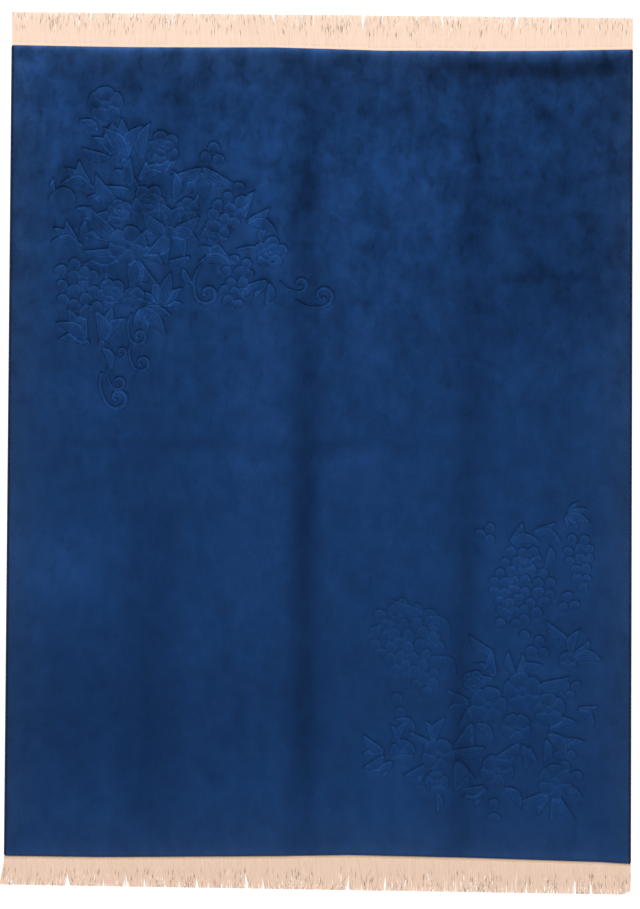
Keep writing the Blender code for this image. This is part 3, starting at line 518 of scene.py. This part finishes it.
def inside(spots, ring):
    """Which spots lie within a closed outline."""
    hit = np.zeros(len(spots), bool)
    for a, b in zip(ring, np.roll(ring, 1)):
        crosses = (a.imag > spots.imag) != (b.imag > spots.imag)
        rise = (b.imag - a.imag) or 1e-12
        hit ^= crosses & (spots.real < (b.real - a.real) * (spots.imag - a.imag) / rise + a.real)
    return hit


def covered(spots, rings):
    """Which spots lie within any of the outlines."""
    hit = np.zeros(len(spots), bool)
    for ring in rings:
        near = (spots.real > ring.real.min()) & (spots.real < ring.real.max())
        near &= (spots.imag > ring.imag.min()) & (spots.imag < ring.imag.max())
        hit[near] |= inside(spots[near], ring)
    return hit


def in_sight(line, rings):
    """The stretches of a line that no outline covers."""
    shown = np.ones(len(line), bool)
    for ring in rings:
        shown &= ~inside(line, ring)
    cuts = np.flatnonzero(np.diff(shown.astype(int))) + 1
    parts = np.split(np.arange(len(line)), cuts)
    return [line[part] for part in parts if shown[part[0]] and len(part) > 1]


def spaced(line, step):
    """Points at even steps along a line of points, both ends kept."""
    run = np.concatenate(([0], np.cumsum(np.abs(np.diff(line)))))
    count = max(1, 2 * round(run[-1] / step / 2))
    at = np.linspace(0, run[-1], count + 1)
    return np.interp(at, run, np.real(line)) + 1j * np.interp(at, run, np.imag(line))


class Marks:
    """Points kept in square cells, so that the nearest is found quickly."""

    def __init__(self, cell):
        self.cell = cell
        self.cells = defaultdict(list)

    def add(self, spot):
        self.cells[int(spot.real // self.cell), int(spot.imag // self.cell)].append(spot)

    def crowded(self, spot, least):
        """Whether a point lies nearer than the least spacing."""
        i, j = int(spot.real // self.cell), int(spot.imag // self.cell)
        return any(abs(other - spot) < least for a in (i - 1, i, i + 1) for b in (j - 1, j, j + 1)
                   for other in self.cells.get((a, b), ()))


def read_off(table, at):
    """Values read between the rows of a table."""
    return np.interp(at, *zip(*table))


def bell(away, reach):
    """A soft hump: 1 at no distance, fading out with the reach."""
    return np.exp(-(away / reach) ** 2)


def ripple(x, y, level=0.0, length=1.0):
    """Smooth noise at points."""
    return np.array([noise.noise(Vector((a, b, level)) / length) for a, b in zip(x, y)])


def side_x(side, y):
    """The rug's outer side at places along it."""
    near, far = SIDES[side]
    return near.real + (far.real - near.real) * (y - near.imag) / (far.imag - near.imag)


def end_y(end, x):
    """The end of the pile at places across the rug."""
    left, right = ENDS[end]
    share = (x - left.real) / (right.real - left.real)
    return left.imag + (right.imag - left.imag) * share - end * read_off(BOW[end], share)


def pile_outline(inset, corner_cut=CORNER_CUT):
    """The pile's outline, drawn in by an inset, anticlockwise from its near left corner."""
    margin = PILE_SIDE + inset
    ends = {}
    for end in (-1, 1):
        y = end_y(end, 0.0)
        low = side_x(-1, y) + margin + corner_cut
        high = side_x(1, y) - margin - corner_cut
        x = np.linspace(low, high, END_STATIONS + 1)
        ends[end] = x + 1j * (end_y(end, x) - end * inset)
    sides = {}
    for side in (-1, 1):
        low = end_y(-1, side_x(side, -1.0)) + corner_cut + inset
        high = end_y(1, side_x(side, 1.0)) - corner_cut - inset
        y = np.linspace(low, high, SIDE_STATIONS + 1)
        sides[side] = side_x(side, y) - side * margin + 1j * y
    order = (ends[-1], sides[1], ends[1][::-1], sides[-1][::-1])
    ring = []
    for k, part in enumerate(order):
        ring += list(part)
        after = order[(k + 1) % 4][0]
        corner = (part[-1] + after) / 2
        ring.append(corner + CORNER_ROUND * corner_cut * corner / abs(corner))
    return ring


def edge_distance(x, y):
    """How far inside the pile's outline points lie."""
    across = np.minimum(side_x(1, y) - PILE_SIDE - x, x - side_x(-1, y) - PILE_SIDE)
    return np.maximum(0.0, np.minimum(across, np.minimum(end_y(1, x) - y, y - end_y(-1, x))))


def carved_lines():
    """Every visible line of the sprays, as whether it is a vein and its points, and every outline."""
    shapes = spray_shapes(UPPER_SPRAY, UPPER_HEART) + spray_shapes(LOWER_SPRAY, LOWER_HEART)
    rings = [np.array(shape.outline) for shape in shapes]
    boxes = [(ring.real.min(), ring.real.max(), ring.imag.min(), ring.imag.max()) for ring in rings]
    made = []
    for i, shape in enumerate(shapes):
        west, east, south, north = boxes[i]
        nearer = [ring for ring, box in zip(rings[:i], boxes)
                  if box[0] < east and box[1] > west and box[2] < north and box[3] > south]
        closed = shape.outline + shape.outline[:1]
        for vein, line in [(False, closed)] + [(True, line) for line in shape.veins]:
            made += [(vein, run) for run in in_sight(spaced(line, SAMPLE_STEP), nearer)]
    return made, rings


def nearest(samples, x, y):
    """The distance from each point to the nearest sample."""
    tree = KDTree(len(samples))
    for k, spot in enumerate(samples):
        tree.insert((spot.real, spot.imag, 0.0), k)
    tree.balance()
    return np.array([tree.find((a, b, 0.0))[2] for a, b in zip(x, y)])


def net(step):
    """Points in staggered rows over the whole rug."""
    reach_x, reach_y = NET_REACH
    return [complex(x, y) for row, y in enumerate(np.arange(-reach_y, reach_y, NET_ROWS * step))
            for x in np.arange(-reach_x + (row % 2) * step / 2, reach_x, step)]


def pile_spots(lines):
    """Points of the pile's face: close rows on the lines, and wider ones over the plain field."""
    spots = []
    close = Marks(LINE_ROWS[-1][1])
    wide = Marks(SPRAY_MARGIN)

    def keep(spot):
        spots.append(spot)
        close.add(spot)
        wide.add(spot)

    for inset, _ in EDGE_PROFILE:
        for spot in pile_outline(inset):
            keep(spot)
    for offset, least in LINE_ROWS:
        for vein, run in lines:
            if vein and offset > 2 * VEIN_CUT[1]:
                continue
            steps = spaced(run, LINE_STEP)
            ahead = np.gradient(steps)
            across = 1j * ahead / np.abs(ahead)
            for side in (1, -1) if offset else (0,):
                for spot in steps + side * offset * across:
                    if not close.crowded(spot, least):
                        keep(spot)
    carved = Marks(SPRAY_MARGIN)
    for _, run in lines:
        for spot in run[::4]:
            carved.add(spot)
    rim = EDGE_PROFILE[-1][0] + FIELD_STEP / 3
    for step, near_lines in ((SPRAY_STEP, True), (FIELD_STEP, False)):
        for spot in net(step):
            if near_lines and not carved.crowded(spot, SPRAY_MARGIN):
                continue
            inner = edge_distance(spot.real, spot.imag) > rim
            if inner and not wide.crowded(spot, NET_SPACING * step):
                keep(spot)
    return spots


def face_height(x, y, lines, rings):
    """The height of the face at points, and the painted highlight and shade that the carving gives them."""
    dip = np.zeros(len(x))
    for troughs, off, run in ((ACROSS_TROUGHS, y, x), (LONG_TROUGHS, x, y)):
        for place, start, stop, half, depth in troughs:
            fade = np.clip((run - start) / TROUGH_FADE, 0, 1) * np.clip((stop - run) / TROUGH_FADE, 0, 1)
            dip = np.maximum(dip, fade * depth * bell(off - place, TROUGH_SLOPE * half))
    away, vein_away = (nearest(np.concatenate([run for vein, run in lines if vein == wanted]), x, y)
                       for wanted in (False, True))
    on_motif = covered(x + 1j * y, rings)
    cut = OUTLINE_CUT[0] * bell(away, OUTLINE_CUT[1])
    for (depth, half), where in ((MOTIF_SHOULDER, on_motif), (GROUND_SHOULDER, ~on_motif)):
        cut += where * depth * bell(away, half)
    cut = np.maximum(cut, VEIN_CUT[0] * bell(vein_away, VEIN_CUT[1]))
    # Painted highlight on the motifs' rims and veins, and painted shade in the cuts and veins
    painted_highlight = on_motif * RIM_PAINTED_HIGHLIGHT[0] * bell(away - RIM_PAINTED_HIGHLIGHT[1], RIM_PAINTED_HIGHLIGHT[2])
    dark = np.where(y > 0, 1.0, LOWER_CUT_SHADE) * CUT_PAINTED_SHADE[0] * bell(away, CUT_PAINTED_SHADE[1])
    painted_highlight += on_motif * VEIN_PAINTED_HIGHLIGHT[0] * bell(vein_away - VEIN_PAINTED_HIGHLIGHT[1], VEIN_PAINTED_HIGHLIGHT[2])
    dark += VEIN_PAINTED_SHADE[0] * bell(vein_away, VEIN_PAINTED_SHADE[1])
    bold = boldness(x, y)
    height = read_off(EDGE_PROFILE, edge_distance(x, y))
    swell = sum(rise * ripple(x, y, length=length) for rise, length in SWELLS)
    return height - dip - bold * cut + swell, 1 + bold * (painted_highlight - dark)


def boldness(x, y):
    """How strongly the carving shows at points, in its depth and in its painted highlight and shade."""
    place_x, place_y, half_x, half_y, share = SOFT_BUNCH
    soft = np.exp(-((x - place_x) / half_x) ** 4 - ((y - place_y) / half_y) ** 4)
    return np.where(y > 0, UPPER_BOLD, LOWER_BOLD) * (1 - share * soft)


def painted_nap_shade(x, y):
    """Painted shade at points for how the pile lies, with a painted highlight at the rims."""
    drift_x = NAP_SHADE_DRIFT[0] * ripple(2 * x, 3 * y, 5.0)
    drift_y = NAP_SHADE_DRIFT[1] * ripple(3 * x, 2 * y, 9.0)
    shade = np.ones(len(x))
    for *patch, change in NAP_PAINTED_SHADE:
        place_x, place_y, half_x, half_y = (number / 1000 for number in patch)
        across = np.abs((x + drift_x - place_x) / half_x)
        ahead = np.abs((y + drift_y - place_y) / half_y)
        shade *= 1 + change / 100 * np.exp(-across ** 2.5 - ahead ** 3)
    # Painted highlight where the rims catch the light
    for end, gain in RIM_GAIN.items():
        shade += gain * np.exp(-np.maximum(end * (end_y(end, x) - y), 0) / RIM_GLOW)
    return shade


def placed(name, data):
    """A new object in the scene."""
    made = bpy.data.objects.new(name, data)
    bpy.context.scene.collection.objects.link(made)
    return made


def mesh_object(name, verts, faces, finish, smooth=True, sharp=None):
    """An object from points and faces; edges above the sharp angle in degrees stay sharp."""
    mesh = bpy.data.meshes.new(name)
    mesh.from_pydata(np.reshape(verts, (-1, 3)).tolist(), [], faces)
    mesh.validate()
    mesh.materials.append(finish)
    if smooth:
        mesh.shade_smooth()
    if sharp:
        mesh.set_sharp_from_angle(angle=math.radians(sharp))
    return placed(name, mesh)


def capped(count, rows, columns, flip):
    """Faces of tubes with capped ends, their points given in closed rows; flip turns the faces over."""
    row, column = np.meshgrid(np.arange(rows - 1), np.arange(columns), indexing="ij")
    here = row * columns + column
    beside = row * columns + (column + 1) % columns
    wall = np.stack([here, beside, beside + columns, here + columns], axis=-1).reshape(-1, 4)
    starts = np.arange(count) * rows * columns
    faces = (wall + starts[:, None, None]).reshape(-1, 4).tolist()
    for first in starts.tolist():
        last = first + (rows - 1) * columns
        faces += [list(range(first, first + columns))[::-1], list(range(last, last + columns))]
    return [face[::-1] for face in faces] if flip else faces


def paint(piece, name, values):
    """Give a piece's points one value each."""
    layer = piece.data.attributes.new(name, "FLOAT", "POINT")
    layer.data.foreach_set("value", np.asarray(values, np.float32))


def make_pile(finish):
    """The pile: carved face, rounded edge and flat underside."""
    lines, rings = carved_lines()
    count = len(pile_outline(0.0))
    edges = [(k, (k + 1) % count) for k in range(count)]
    flat = [Vector((spot.real, spot.imag)) for spot in pile_spots(lines)]
    points, _, triangles, origins, *_ = delaunay_2d_cdt(flat, edges, [], 1, 1e-6)
    x = np.array([at.x for at in points])
    y = np.array([at.y for at in points])
    # The second value is the carving's painted highlight and shade
    height, carved = face_height(x, y, lines, rings)
    place = {old: k for k, olds in enumerate(origins) for old in olds}
    rim = [place[k] for k in range(count)]
    verts = np.stack([x, y, height], axis=-1).tolist()
    base = len(verts)
    verts += [(x[k], y[k], PILE_FOOT) for k in rim]
    faces = list(triangles)
    faces += [(rim[k], base + k, base + (k + 1) % count, rim[(k + 1) % count]) for k in range(count)]
    faces.append(list(range(base, base + count))[::-1])
    pile = mesh_object("pile", verts, faces, finish, sharp=70)
    every = [*range(len(x)), *rim]
    painted_glare = np.exp(-edge_distance(x, y) / GLARE_REACH)
    # Layers: painted shade of how the pile lies, of the carving and at the rims; strength of the mottling;
    # painted glare
    layers = {"painted_shade": carved * painted_nap_shade(x, y), "mottle_and_nap_shade": read_off(MOTTLE_AND_NAP_SHADE, y), "painted_glare": painted_glare}
    for name, values in layers.items():
        paint(pile, name, values[every])
    return pile


def make_back(finish):
    """The foundation: a thin slab that the pile stands on and that reaches under the cords."""
    ring = pile_outline(0.0, BACK_CORNER)
    for side in (-1, 1):
        inner = [side_x(side, spot.imag) - side * PILE_SIDE for spot in ring]
        ring = [spot + side * UNDER_CORD if abs(spot.real - x) < 1e-6 else spot
                for spot, x in zip(ring, inner)]
    verts = [(spot.real, spot.imag, height) for height in (0.0, BACK_TOP) for spot in ring]
    return mesh_object("woven_back", verts, capped(1, 2, len(ring), False), finish, smooth=False)


def make_cord(name, side, finish, pitch=0.0042, sides=12, per_wrap=4):
    """A side cord with its wrapped yarn, as slanting ridges that fade out towards the pile."""
    near, far = SIDES[side]
    low, high = near.imag + END_GAP, far.imag - END_GAP
    wraps = round((high - low) / pitch)
    t = np.linspace(0, 1, wraps * per_wrap + 1)[:, None]
    turn = np.linspace(0, 2 * np.pi, sides, endpoint=False)[None, :]
    ridge = np.cos(2 * np.pi * wraps * t + turn)
    open_side = np.clip(CORD_OPEN + side * np.cos(turn), 0, 1)
    height, waves, start = CORD_SWELL
    slow = height * np.sin(2 * np.pi * waves * wraps * t + start * side)
    grow = 1 + CORD_RIDGE * (1 - open_side * (1 - ridge)) + slow
    tip = np.clip(1 - np.minimum(t, 1 - t) * wraps / CORD_ROUNDING, 0, 1)
    end_round = np.sqrt(np.clip(1 - tip ** 2, 0.05, 1))
    y = low + (high - low) * t
    bend = CORD_BEND * np.clip(1 - np.minimum(y - low, high - y) / CORNER_CUT, 0, 1) ** 2
    half_x, half_z = CORD_HALF[0] * CORD_WIDTH, CORD_HALF[1] * CORD_HEIGHT
    x = side_x(side, y) - side * (CORD_WIDTH / 2 + bend) + half_x * grow * end_round * np.cos(turn)
    z = CORD_HEIGHT / 2 + half_z * grow * end_round * np.sin(turn)
    verts = np.stack([x, np.broadcast_to(y, x.shape), np.maximum(z, FLOOR_GAP)], axis=-1)
    return mesh_object(name, verts, capped(1, len(t), sides, True), finish)


def make_band(name, end, finish, pitch=0.0032, rows=9):
    """The woven band between pile and fringe: low crosswise ribs with a fine even weave."""
    left, right = ENDS[end]
    ribs = round((right.real - left.real) / pitch)
    x = np.linspace(left.real + END_GAP, right.real - END_GAP, ribs * 3 + 1)[:, None]
    v = np.linspace(0, 1, rows)[None, :]
    weave = np.sin(np.pi * (x - left.real) / pitch * 2) * np.cos(3 * np.pi * v)
    rest, woven, lost = BAND_SHARES
    top = BAND_HEIGHT * (rest + woven * weave - lost * (2 * v - 1) ** 6)
    swing, turns = BAND_WAVER
    y = end_y(end, x) + end * (GAP + v * BAND_WIDTH + swing * np.sin(turns * x) * v)
    upper = np.stack([np.broadcast_to(x, y.shape), y, np.broadcast_to(top, y.shape)], axis=-1)
    lower = upper[:, [-1, 0]].copy()
    lower[:, :, 2] = FLOOR_GAP
    verts = np.concatenate([upper, lower], axis=1)
    return mesh_object(name, verts, capped(1, len(x), rows + 2, end > 0), finish, sharp=55)


def stations(steps):
    """Places along a thread from root to tip; the second is where it leaves the band."""
    return np.concatenate([[0.0], np.linspace(BAND_EXIT, 1, steps)])[None, :]


def tangle(end, share):
    """How tangled the fringe is at places across the rug, as a waver in metres."""
    return sum(waver / 1000 * bell(share - place / 1000, half / 1000) for place, half, waver in TANGLES[end])


def thread_paths(end, share, loose, steps, follow, rng):
    """Where threads run across and along: rows of x and y from root to tip."""
    left, right = ENDS[end]
    count = len(share)
    root_x = left.real + share * (right.real - left.real)
    t = stations(steps)
    lean = sum(swing * np.sin(turns * share + end * start) for swing, turns, start in SWAYS)
    lean = lean * np.clip(np.minimum(share, 1 - share) / EDGE_CALM, 0, 1)
    lean = lean + rng.normal(0, np.where(loose, LOOSE_SPREAD, LEAN_SPREAD))
    if end < 0:
        lean -= FLARE * np.clip(1 - (root_x - left.real) / FLARE_REACH, 0, 1) ** 2
    drift = lean[:, None] * t ** 1.4
    for place, lean_off, start in PARTINGS[end]:
        swing = lean_off / 10000
        away = root_x - (left.real + place / 1000 * (right.real - left.real))
        reach = max(PARTING_REACH, 2.0 * swing)
        push = np.sign(away) * follow * swing * np.exp(-np.abs(away) / reach)
        drift = drift + push[:, None] * np.clip((t - start) / (1 - start), 0, 1) ** 1.3
    waver = WAVER_SPREAD + np.abs(rng.normal(0, WAVER_SPREAD, count))
    waver = waver + follow * TANGLE_SWING[end] * tangle(end, share) * rng.uniform(0, 1, count)
    turns = rng.uniform(0.8, 2.4, count)
    start = rng.uniform(0, 2 * np.pi, count)
    drift = drift + waver[:, None] * t ** 1.5 * np.sin(2 * np.pi * turns[:, None] * t + start[:, None])
    root_y = end_y(end, root_x) + end * (GAP + BAND_WIDTH - ROOT_INSET)
    tip_y = read_off(TIPS[end], share) + rng.normal(0, TIP_SPREAD, count)
    tip_y = tip_y - end * np.where(rng.random(count) < SHORT_CHANCE, rng.uniform(0.0, SHORT_BY, count), 0)
    return root_x[:, None] + drift, root_y[:, None] + (tip_y - root_y)[:, None] * t


def ringed(x, y, z, half_x, half_z, sides):
    """Rings of points about rows of middle points."""
    around = np.linspace(0, 2 * np.pi, sides, endpoint=False)
    ring_x = x[:, :, None] + half_x[:, :, None] * np.cos(around)
    ring_z = z[:, :, None] + half_z[:, :, None] * np.sin(around)
    ring_y = np.broadcast_to(y[:, :, None], ring_x.shape)
    return np.stack([ring_x, ring_y, ring_z], axis=-1).reshape(-1, 3).tolist()


def make_threads(name, end, finish):
    """The fringe: a flat lower layer and fine threads over it, in locks cut to one line."""
    rng = np.random.default_rng(50 + end)
    verts, faces, tones = [], [], []
    for count, steps, sides, wide, rise, radius, loose_count in THREAD_LAYERS:
        share = (np.arange(count) + 0.5) / count + rng.normal(0, 0.12 / count, count)
        share = np.concatenate([share, rng.uniform(0.01, 0.99, loose_count)]).clip(0.001, 0.999)
        total = len(share)
        loose = np.arange(total) >= count
        x, y = thread_paths(end, share, loose, steps, 1.0 if loose_count else UNDER_SHARE, rng)
        t = stations(steps)
        half_z = radius * rng.uniform(0.85, 1.1, total)[:, None] * (1 - 0.1 * t)
        half_x = wide * half_z * (1 - 0.25 * t ** 6)
        layer = rise + LAYER_DEPTH * rng.random(total) + LOOSE_RISE * loose
        z = half_z + FLOOR_GAP + layer[:, None]
        z[:, 0] = ROOT_HEIGHT
        base = len(verts)
        verts += ringed(x, y, z, half_x, half_z, sides)
        faces += [[base + k for k in face] for face in capped(total, steps + 1, sides, end > 0)]
        # Dark marks: painted shadow of tangled and loose threads, and dirt
        spot = 1.02 - 0.62 * rng.uniform(0, 1, total)[:, None] ** 1.4
        chance = MARK_CHANCE[end] + MARK_TANGLE * tangle(end, share) + MARK_LOOSE * loose
        dark = (rng.random(total) < chance) * rng.uniform(*MARK_DARK, total) * (loose_count > 0)
        tone = 1 - dark[:, None] * bell(t - spot, MARK_REACH)
        # Painted highlight towards the tips
        gain, closeness = TIP_PAINTED_HIGHLIGHT[end]
        tone = tone * rng.uniform(0.98, 1.02, total)[:, None] * (1 + gain * t ** closeness)
        tones.append(np.repeat(tone.reshape(-1), sides))
    made = mesh_object(name, verts, faces, finish, sharp=85)
    paint(made, "tone", np.concatenate(tones))
    return made


class Nodes:
    """Short calls for building one material."""

    def __init__(self, name):
        self.material = bpy.data.materials.new(name)
        self.material.use_nodes = True
        self.tree = self.material.node_tree
        self.shader = self.tree.nodes["Principled BSDF"]
        self.object = self.add("TexCoord", {}).outputs["Object"]

    def fill(self, node, inputs):
        """Set a node's inputs to numbers or colours, or link them to outputs."""
        for key, value in inputs.items():
            socket = node.inputs[key]
            if isinstance(value, bpy.types.NodeSocket):
                self.tree.links.new(value, socket)
            else:
                socket.default_value = (*value, 1.0) if socket.type == "RGBA" else value

    def add(self, kind, inputs, **settings):
        """A new node with its settings and inputs."""
        node = self.tree.nodes.new("ShaderNode" + kind)
        for key, value in settings.items():
            setattr(node, key, value)
        self.fill(node, inputs)
        return node

    def mapped(self, scale, turn=0.0):
        """The object's own coordinates, turned and scaled."""
        inputs = {"Vector": self.object, "Scale": scale, "Rotation": (0, 0, turn)}
        return self.add("Mapping", inputs).outputs["Vector"]

    def noise(self, scale, detail=3.0, roughness=0.55, vector=None, distortion=0.0):
        inputs = {"Vector": vector or self.object, "Scale": scale, "Detail": detail,
                  "Roughness": roughness, "Distortion": distortion}
        return self.add("TexNoise", inputs).outputs["Fac"]

    def math(self, what, first, second):
        return self.add("Math", {0: first, 1: second}, operation=what).outputs["Value"]

    def spread(self, value, low, high, start=0.3, stop=0.7):
        """A noise value stretched to a range."""
        inputs = {"Value": value, "From Min": start, "From Max": stop, "To Min": low, "To Max": high}
        return self.add("MapRange", inputs).outputs["Result"]

    def attribute(self, name):
        return self.add("Attribute", {}, attribute_name=name).outputs["Fac"]

    def blended(self, colour, other, factor):
        """A colour that turns into another by a factor."""
        return self.add("Mix", {6: colour, 7: other, 0: factor}, data_type="RGBA").outputs[2]

    def shaded(self, colour, shade):
        """A colour multiplied by a shade."""
        return self.add("VectorMath", {0: colour, "Scale": shade}, operation="SCALE").outputs["Vector"]

    def bump(self, height, strength, distance, **before):
        """A relief; before may give the one under it, as Normal."""
        inputs = {"Height": height, "Strength": strength, "Distance": distance, **before}
        return self.add("Bump", inputs).outputs["Normal"]

    def finished(self, colour, relief, roughness, specular):
        """The material, given a colour, a relief and a gloss."""
        self.fill(self.shader, {"Base Color": colour, "Normal": relief, "Roughness": roughness,
                                "Specular IOR Level": specular})
        return self.material


def wool_pile():
    """Deep blue cut wool: painted shade for how the pile lies, mottling, painted shade between tufts, painted
    glare, a soft sheen.
    """
    made = Nodes("blue_wool_pile")
    # Mottling: random tone and painted shade for how the pile lies
    clouds = made.spread(made.noise(8.0, 3.0, 0.5, distortion=0.4), -0.17, 0.17)
    blotches = made.spread(made.noise(21.0, 2.0, 0.5, made.mapped((1.0, 0.7, 1.0)), 0.6), -0.15, 0.15)
    smudges = made.noise(1.0, 2.0, 0.5, made.mapped((34.0, 17.0, 1.0), 0.1))
    smudges = made.spread(smudges, 0.0, -0.22, 0.6, 0.78)
    drawn = made.spread(made.noise(1.0, 3.0, 0.5, made.mapped((16.0, 2.5, 1.0))), -0.07, 0.07)
    mottle_and_nap_shade = made.math("ADD", made.math("ADD", clouds, blotches), made.math("ADD", drawn, smudges))
    mottle_and_nap_shade = made.math("ADD", made.math("MULTIPLY", mottle_and_nap_shade, made.attribute("mottle_and_nap_shade")), 1.0)
    tufts = made.add("TexVoronoi", {"Vector": made.object, "Scale": 380.0}).outputs["Distance"]
    fine = made.spread(made.noise(150.0, 2.0, 0.6), 0.96, 1.04)
    # Painted shade between the tufts: darker away from each tuft's middle
    fine = made.math("MULTIPLY", fine, made.spread(tufts, 1.1, 0.88, 0.0, 0.75))
    shade = made.math("MULTIPLY", made.math("MULTIPLY", mottle_and_nap_shade, fine), made.attribute("painted_shade"))
    hue = made.blended(WOOL_DEEP, WOOL_LIGHT, made.noise(7.0, 4.0, 0.6))
    # Painted glare greys the wool towards the outline
    hue = made.blended(hue, WOOL_PAINTED_GLARE, made.attribute("painted_glare"))
    raised = made.bump(made.math("SUBTRACT", 1.0, tufts), 0.45, 0.0014)
    relief = made.bump(made.noise(900.0, 2.0), 0.3, 0.0006, Normal=raised)
    made.fill(made.shader, {"Sheen Weight": 0.03, "Sheen Roughness": 0.5, "Sheen Tint": WOOL_SHEEN})
    return made.finished(made.shaded(hue, shade), relief, 0.92, 0.05)


def woven_back():
    """The underside: rows of small knots that show the blue yarn between pale wefts."""
    made = Nodes("woven_back")
    knots = made.add("TexBrick", {
        "Vector": made.object, "Color1": KNOTS[0], "Color2": KNOTS[1], "Mortar": WEFT, "Scale": 1.0,
        "Brick Width": 0.0042, "Row Height": 0.0036, "Mortar Size": 0.0004,
    })
    worn = made.spread(made.noise(6.0, 4.0), 0.85, 1.15)
    flat = made.math("SUBTRACT", 1.0, knots.outputs["Fac"])
    return made.finished(made.shaded(knots.outputs["Color"], worn), made.bump(flat, 0.6, 0.0006), 0.95, 0.1)


def wrapped_yarn():
    """Dark blue yarn wrapped over the sides."""
    made = Nodes("blue_wrapped_yarn")
    shade = made.spread(made.noise(1.0, 3.0, 0.6, made.mapped((300.0, 40.0, 300.0))), 0.7, 1.3)
    hue = made.blended(CORD_DEEP, CORD_LIGHT, made.noise(30.0, 3.0))
    relief = made.bump(made.noise(1400.0, 2.0), 0.4, 0.0004)
    return made.finished(made.shaded(hue, shade), relief, 0.9, 0.05)


def cotton(name, pale, deep, toned):
    """Cream cotton: lengthwise fibres, slow changes of tone and, on threads, a tone with painted shadow and
    dirt in dark marks and a painted highlight at the tips.
    """
    made = Nodes(name)
    shade = made.spread(made.noise(1.0, 3.0, 0.6, made.mapped((620.0, 14.0, 200.0))), 0.95, 1.03)
    if toned:
        shade = made.math("MULTIPLY", shade, made.attribute("tone"))
    hue = made.blended(deep, pale, made.noise(7.0, 4.0, 0.6))
    twist = made.noise(1.0, 2.0, 0.5, made.mapped((900.0, 420.0, 900.0), 0.6))
    return made.finished(made.shaded(hue, shade), made.bump(twist, 0.3, 0.0004), 0.85, 0.2)


def lit_floor():
    """The pale studio floor, lit through so that shadows on it stay faint."""
    made = Nodes("studio_floor")
    made.fill(made.shader, {
        "Base Color": FLOOR_GREY, "Roughness": 0.9, "Specular IOR Level": 0.0,
        "Emission Color": WHITE, "Emission Strength": FLOOR_GLOW,
    })
    turns = ((-1, -1), (1, -1), (1, 1), (-1, 1))
    corners = [(x * FLOOR_REACH, y * FLOOR_REACH, -FLOOR_DROP) for x, y in turns]
    floor = mesh_object("floor", corners, [(0, 1, 2, 3)], made.material, smooth=False)


def light_up():
    """A soft key from beyond the far end, and an even pale surround."""
    sun = bpy.data.lights.new("key", "SUN")
    sun.energy = SUN_STRENGTH
    sun.angle = math.radians(SUN_SPREAD)
    placed("key", sun).rotation_euler = (math.radians(-SUN_TILT), math.radians(SUN_SIDE), 0)
    world = bpy.data.worlds.new("surround")
    world.use_nodes = True
    background = world.node_tree.nodes["Background"]
    background.inputs["Color"].default_value = (*WHITE, 1.0)
    background.inputs["Strength"].default_value = SURROUND
    bpy.context.scene.world = world


def place_camera():
    """Straight above the rug, turned so that the rug lies as in the photograph."""
    lens = bpy.data.cameras.new("camera")
    lens.lens = CAMERA_LENS
    lens.sensor_width = SENSOR_WIDTH
    camera = placed("camera", lens)
    camera.location = (*VIEW_CENTRE, VIEW_HEIGHT * CAMERA_LENS / SENSOR_WIDTH)
    camera.rotation_euler = (0, 0, math.radians(CAMERA_ROLL))
    bpy.context.scene.camera = camera


def main():
    bpy.context.scene.view_settings.view_transform = "Standard"
    place_camera()
    yarn = wrapped_yarn()
    pile = make_pile(wool_pile())
    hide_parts("pile_field")
    back = make_back(woven_back())
    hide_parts("pile_field")
    others = [back]
    for name, node, side in (("left_cord", "selvedge_left", -1), ("right_cord", "selvedge_right", 1)):
        cord = make_cord(name, side, yarn)
        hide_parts(node)
        others.append(cord)
    # The near end's cotton and band are painted darker, as painted shade
    for place, end, threads, web in (("far", 1, LIT_FAR_COTTON, LIT_FAR_BAND), ("near", -1, SHADED_NEAR_COTTON, SHADED_NEAR_BAND)):
        finish = cotton(place + "_band_cotton_painted_light", *web, toned=False)
        band = make_band(place + "_band", end, finish)
        finish = cotton(place + "_thread_cotton_painted_light", *threads, toned=True)
        for piece in (band, make_threads(place + "_threads", end, finish)):
            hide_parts("fringe_" + place)
            others.append(piece)
    for piece in [pile] + others:
        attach(piece, "root")
    lit_floor()
    light_up()


main()
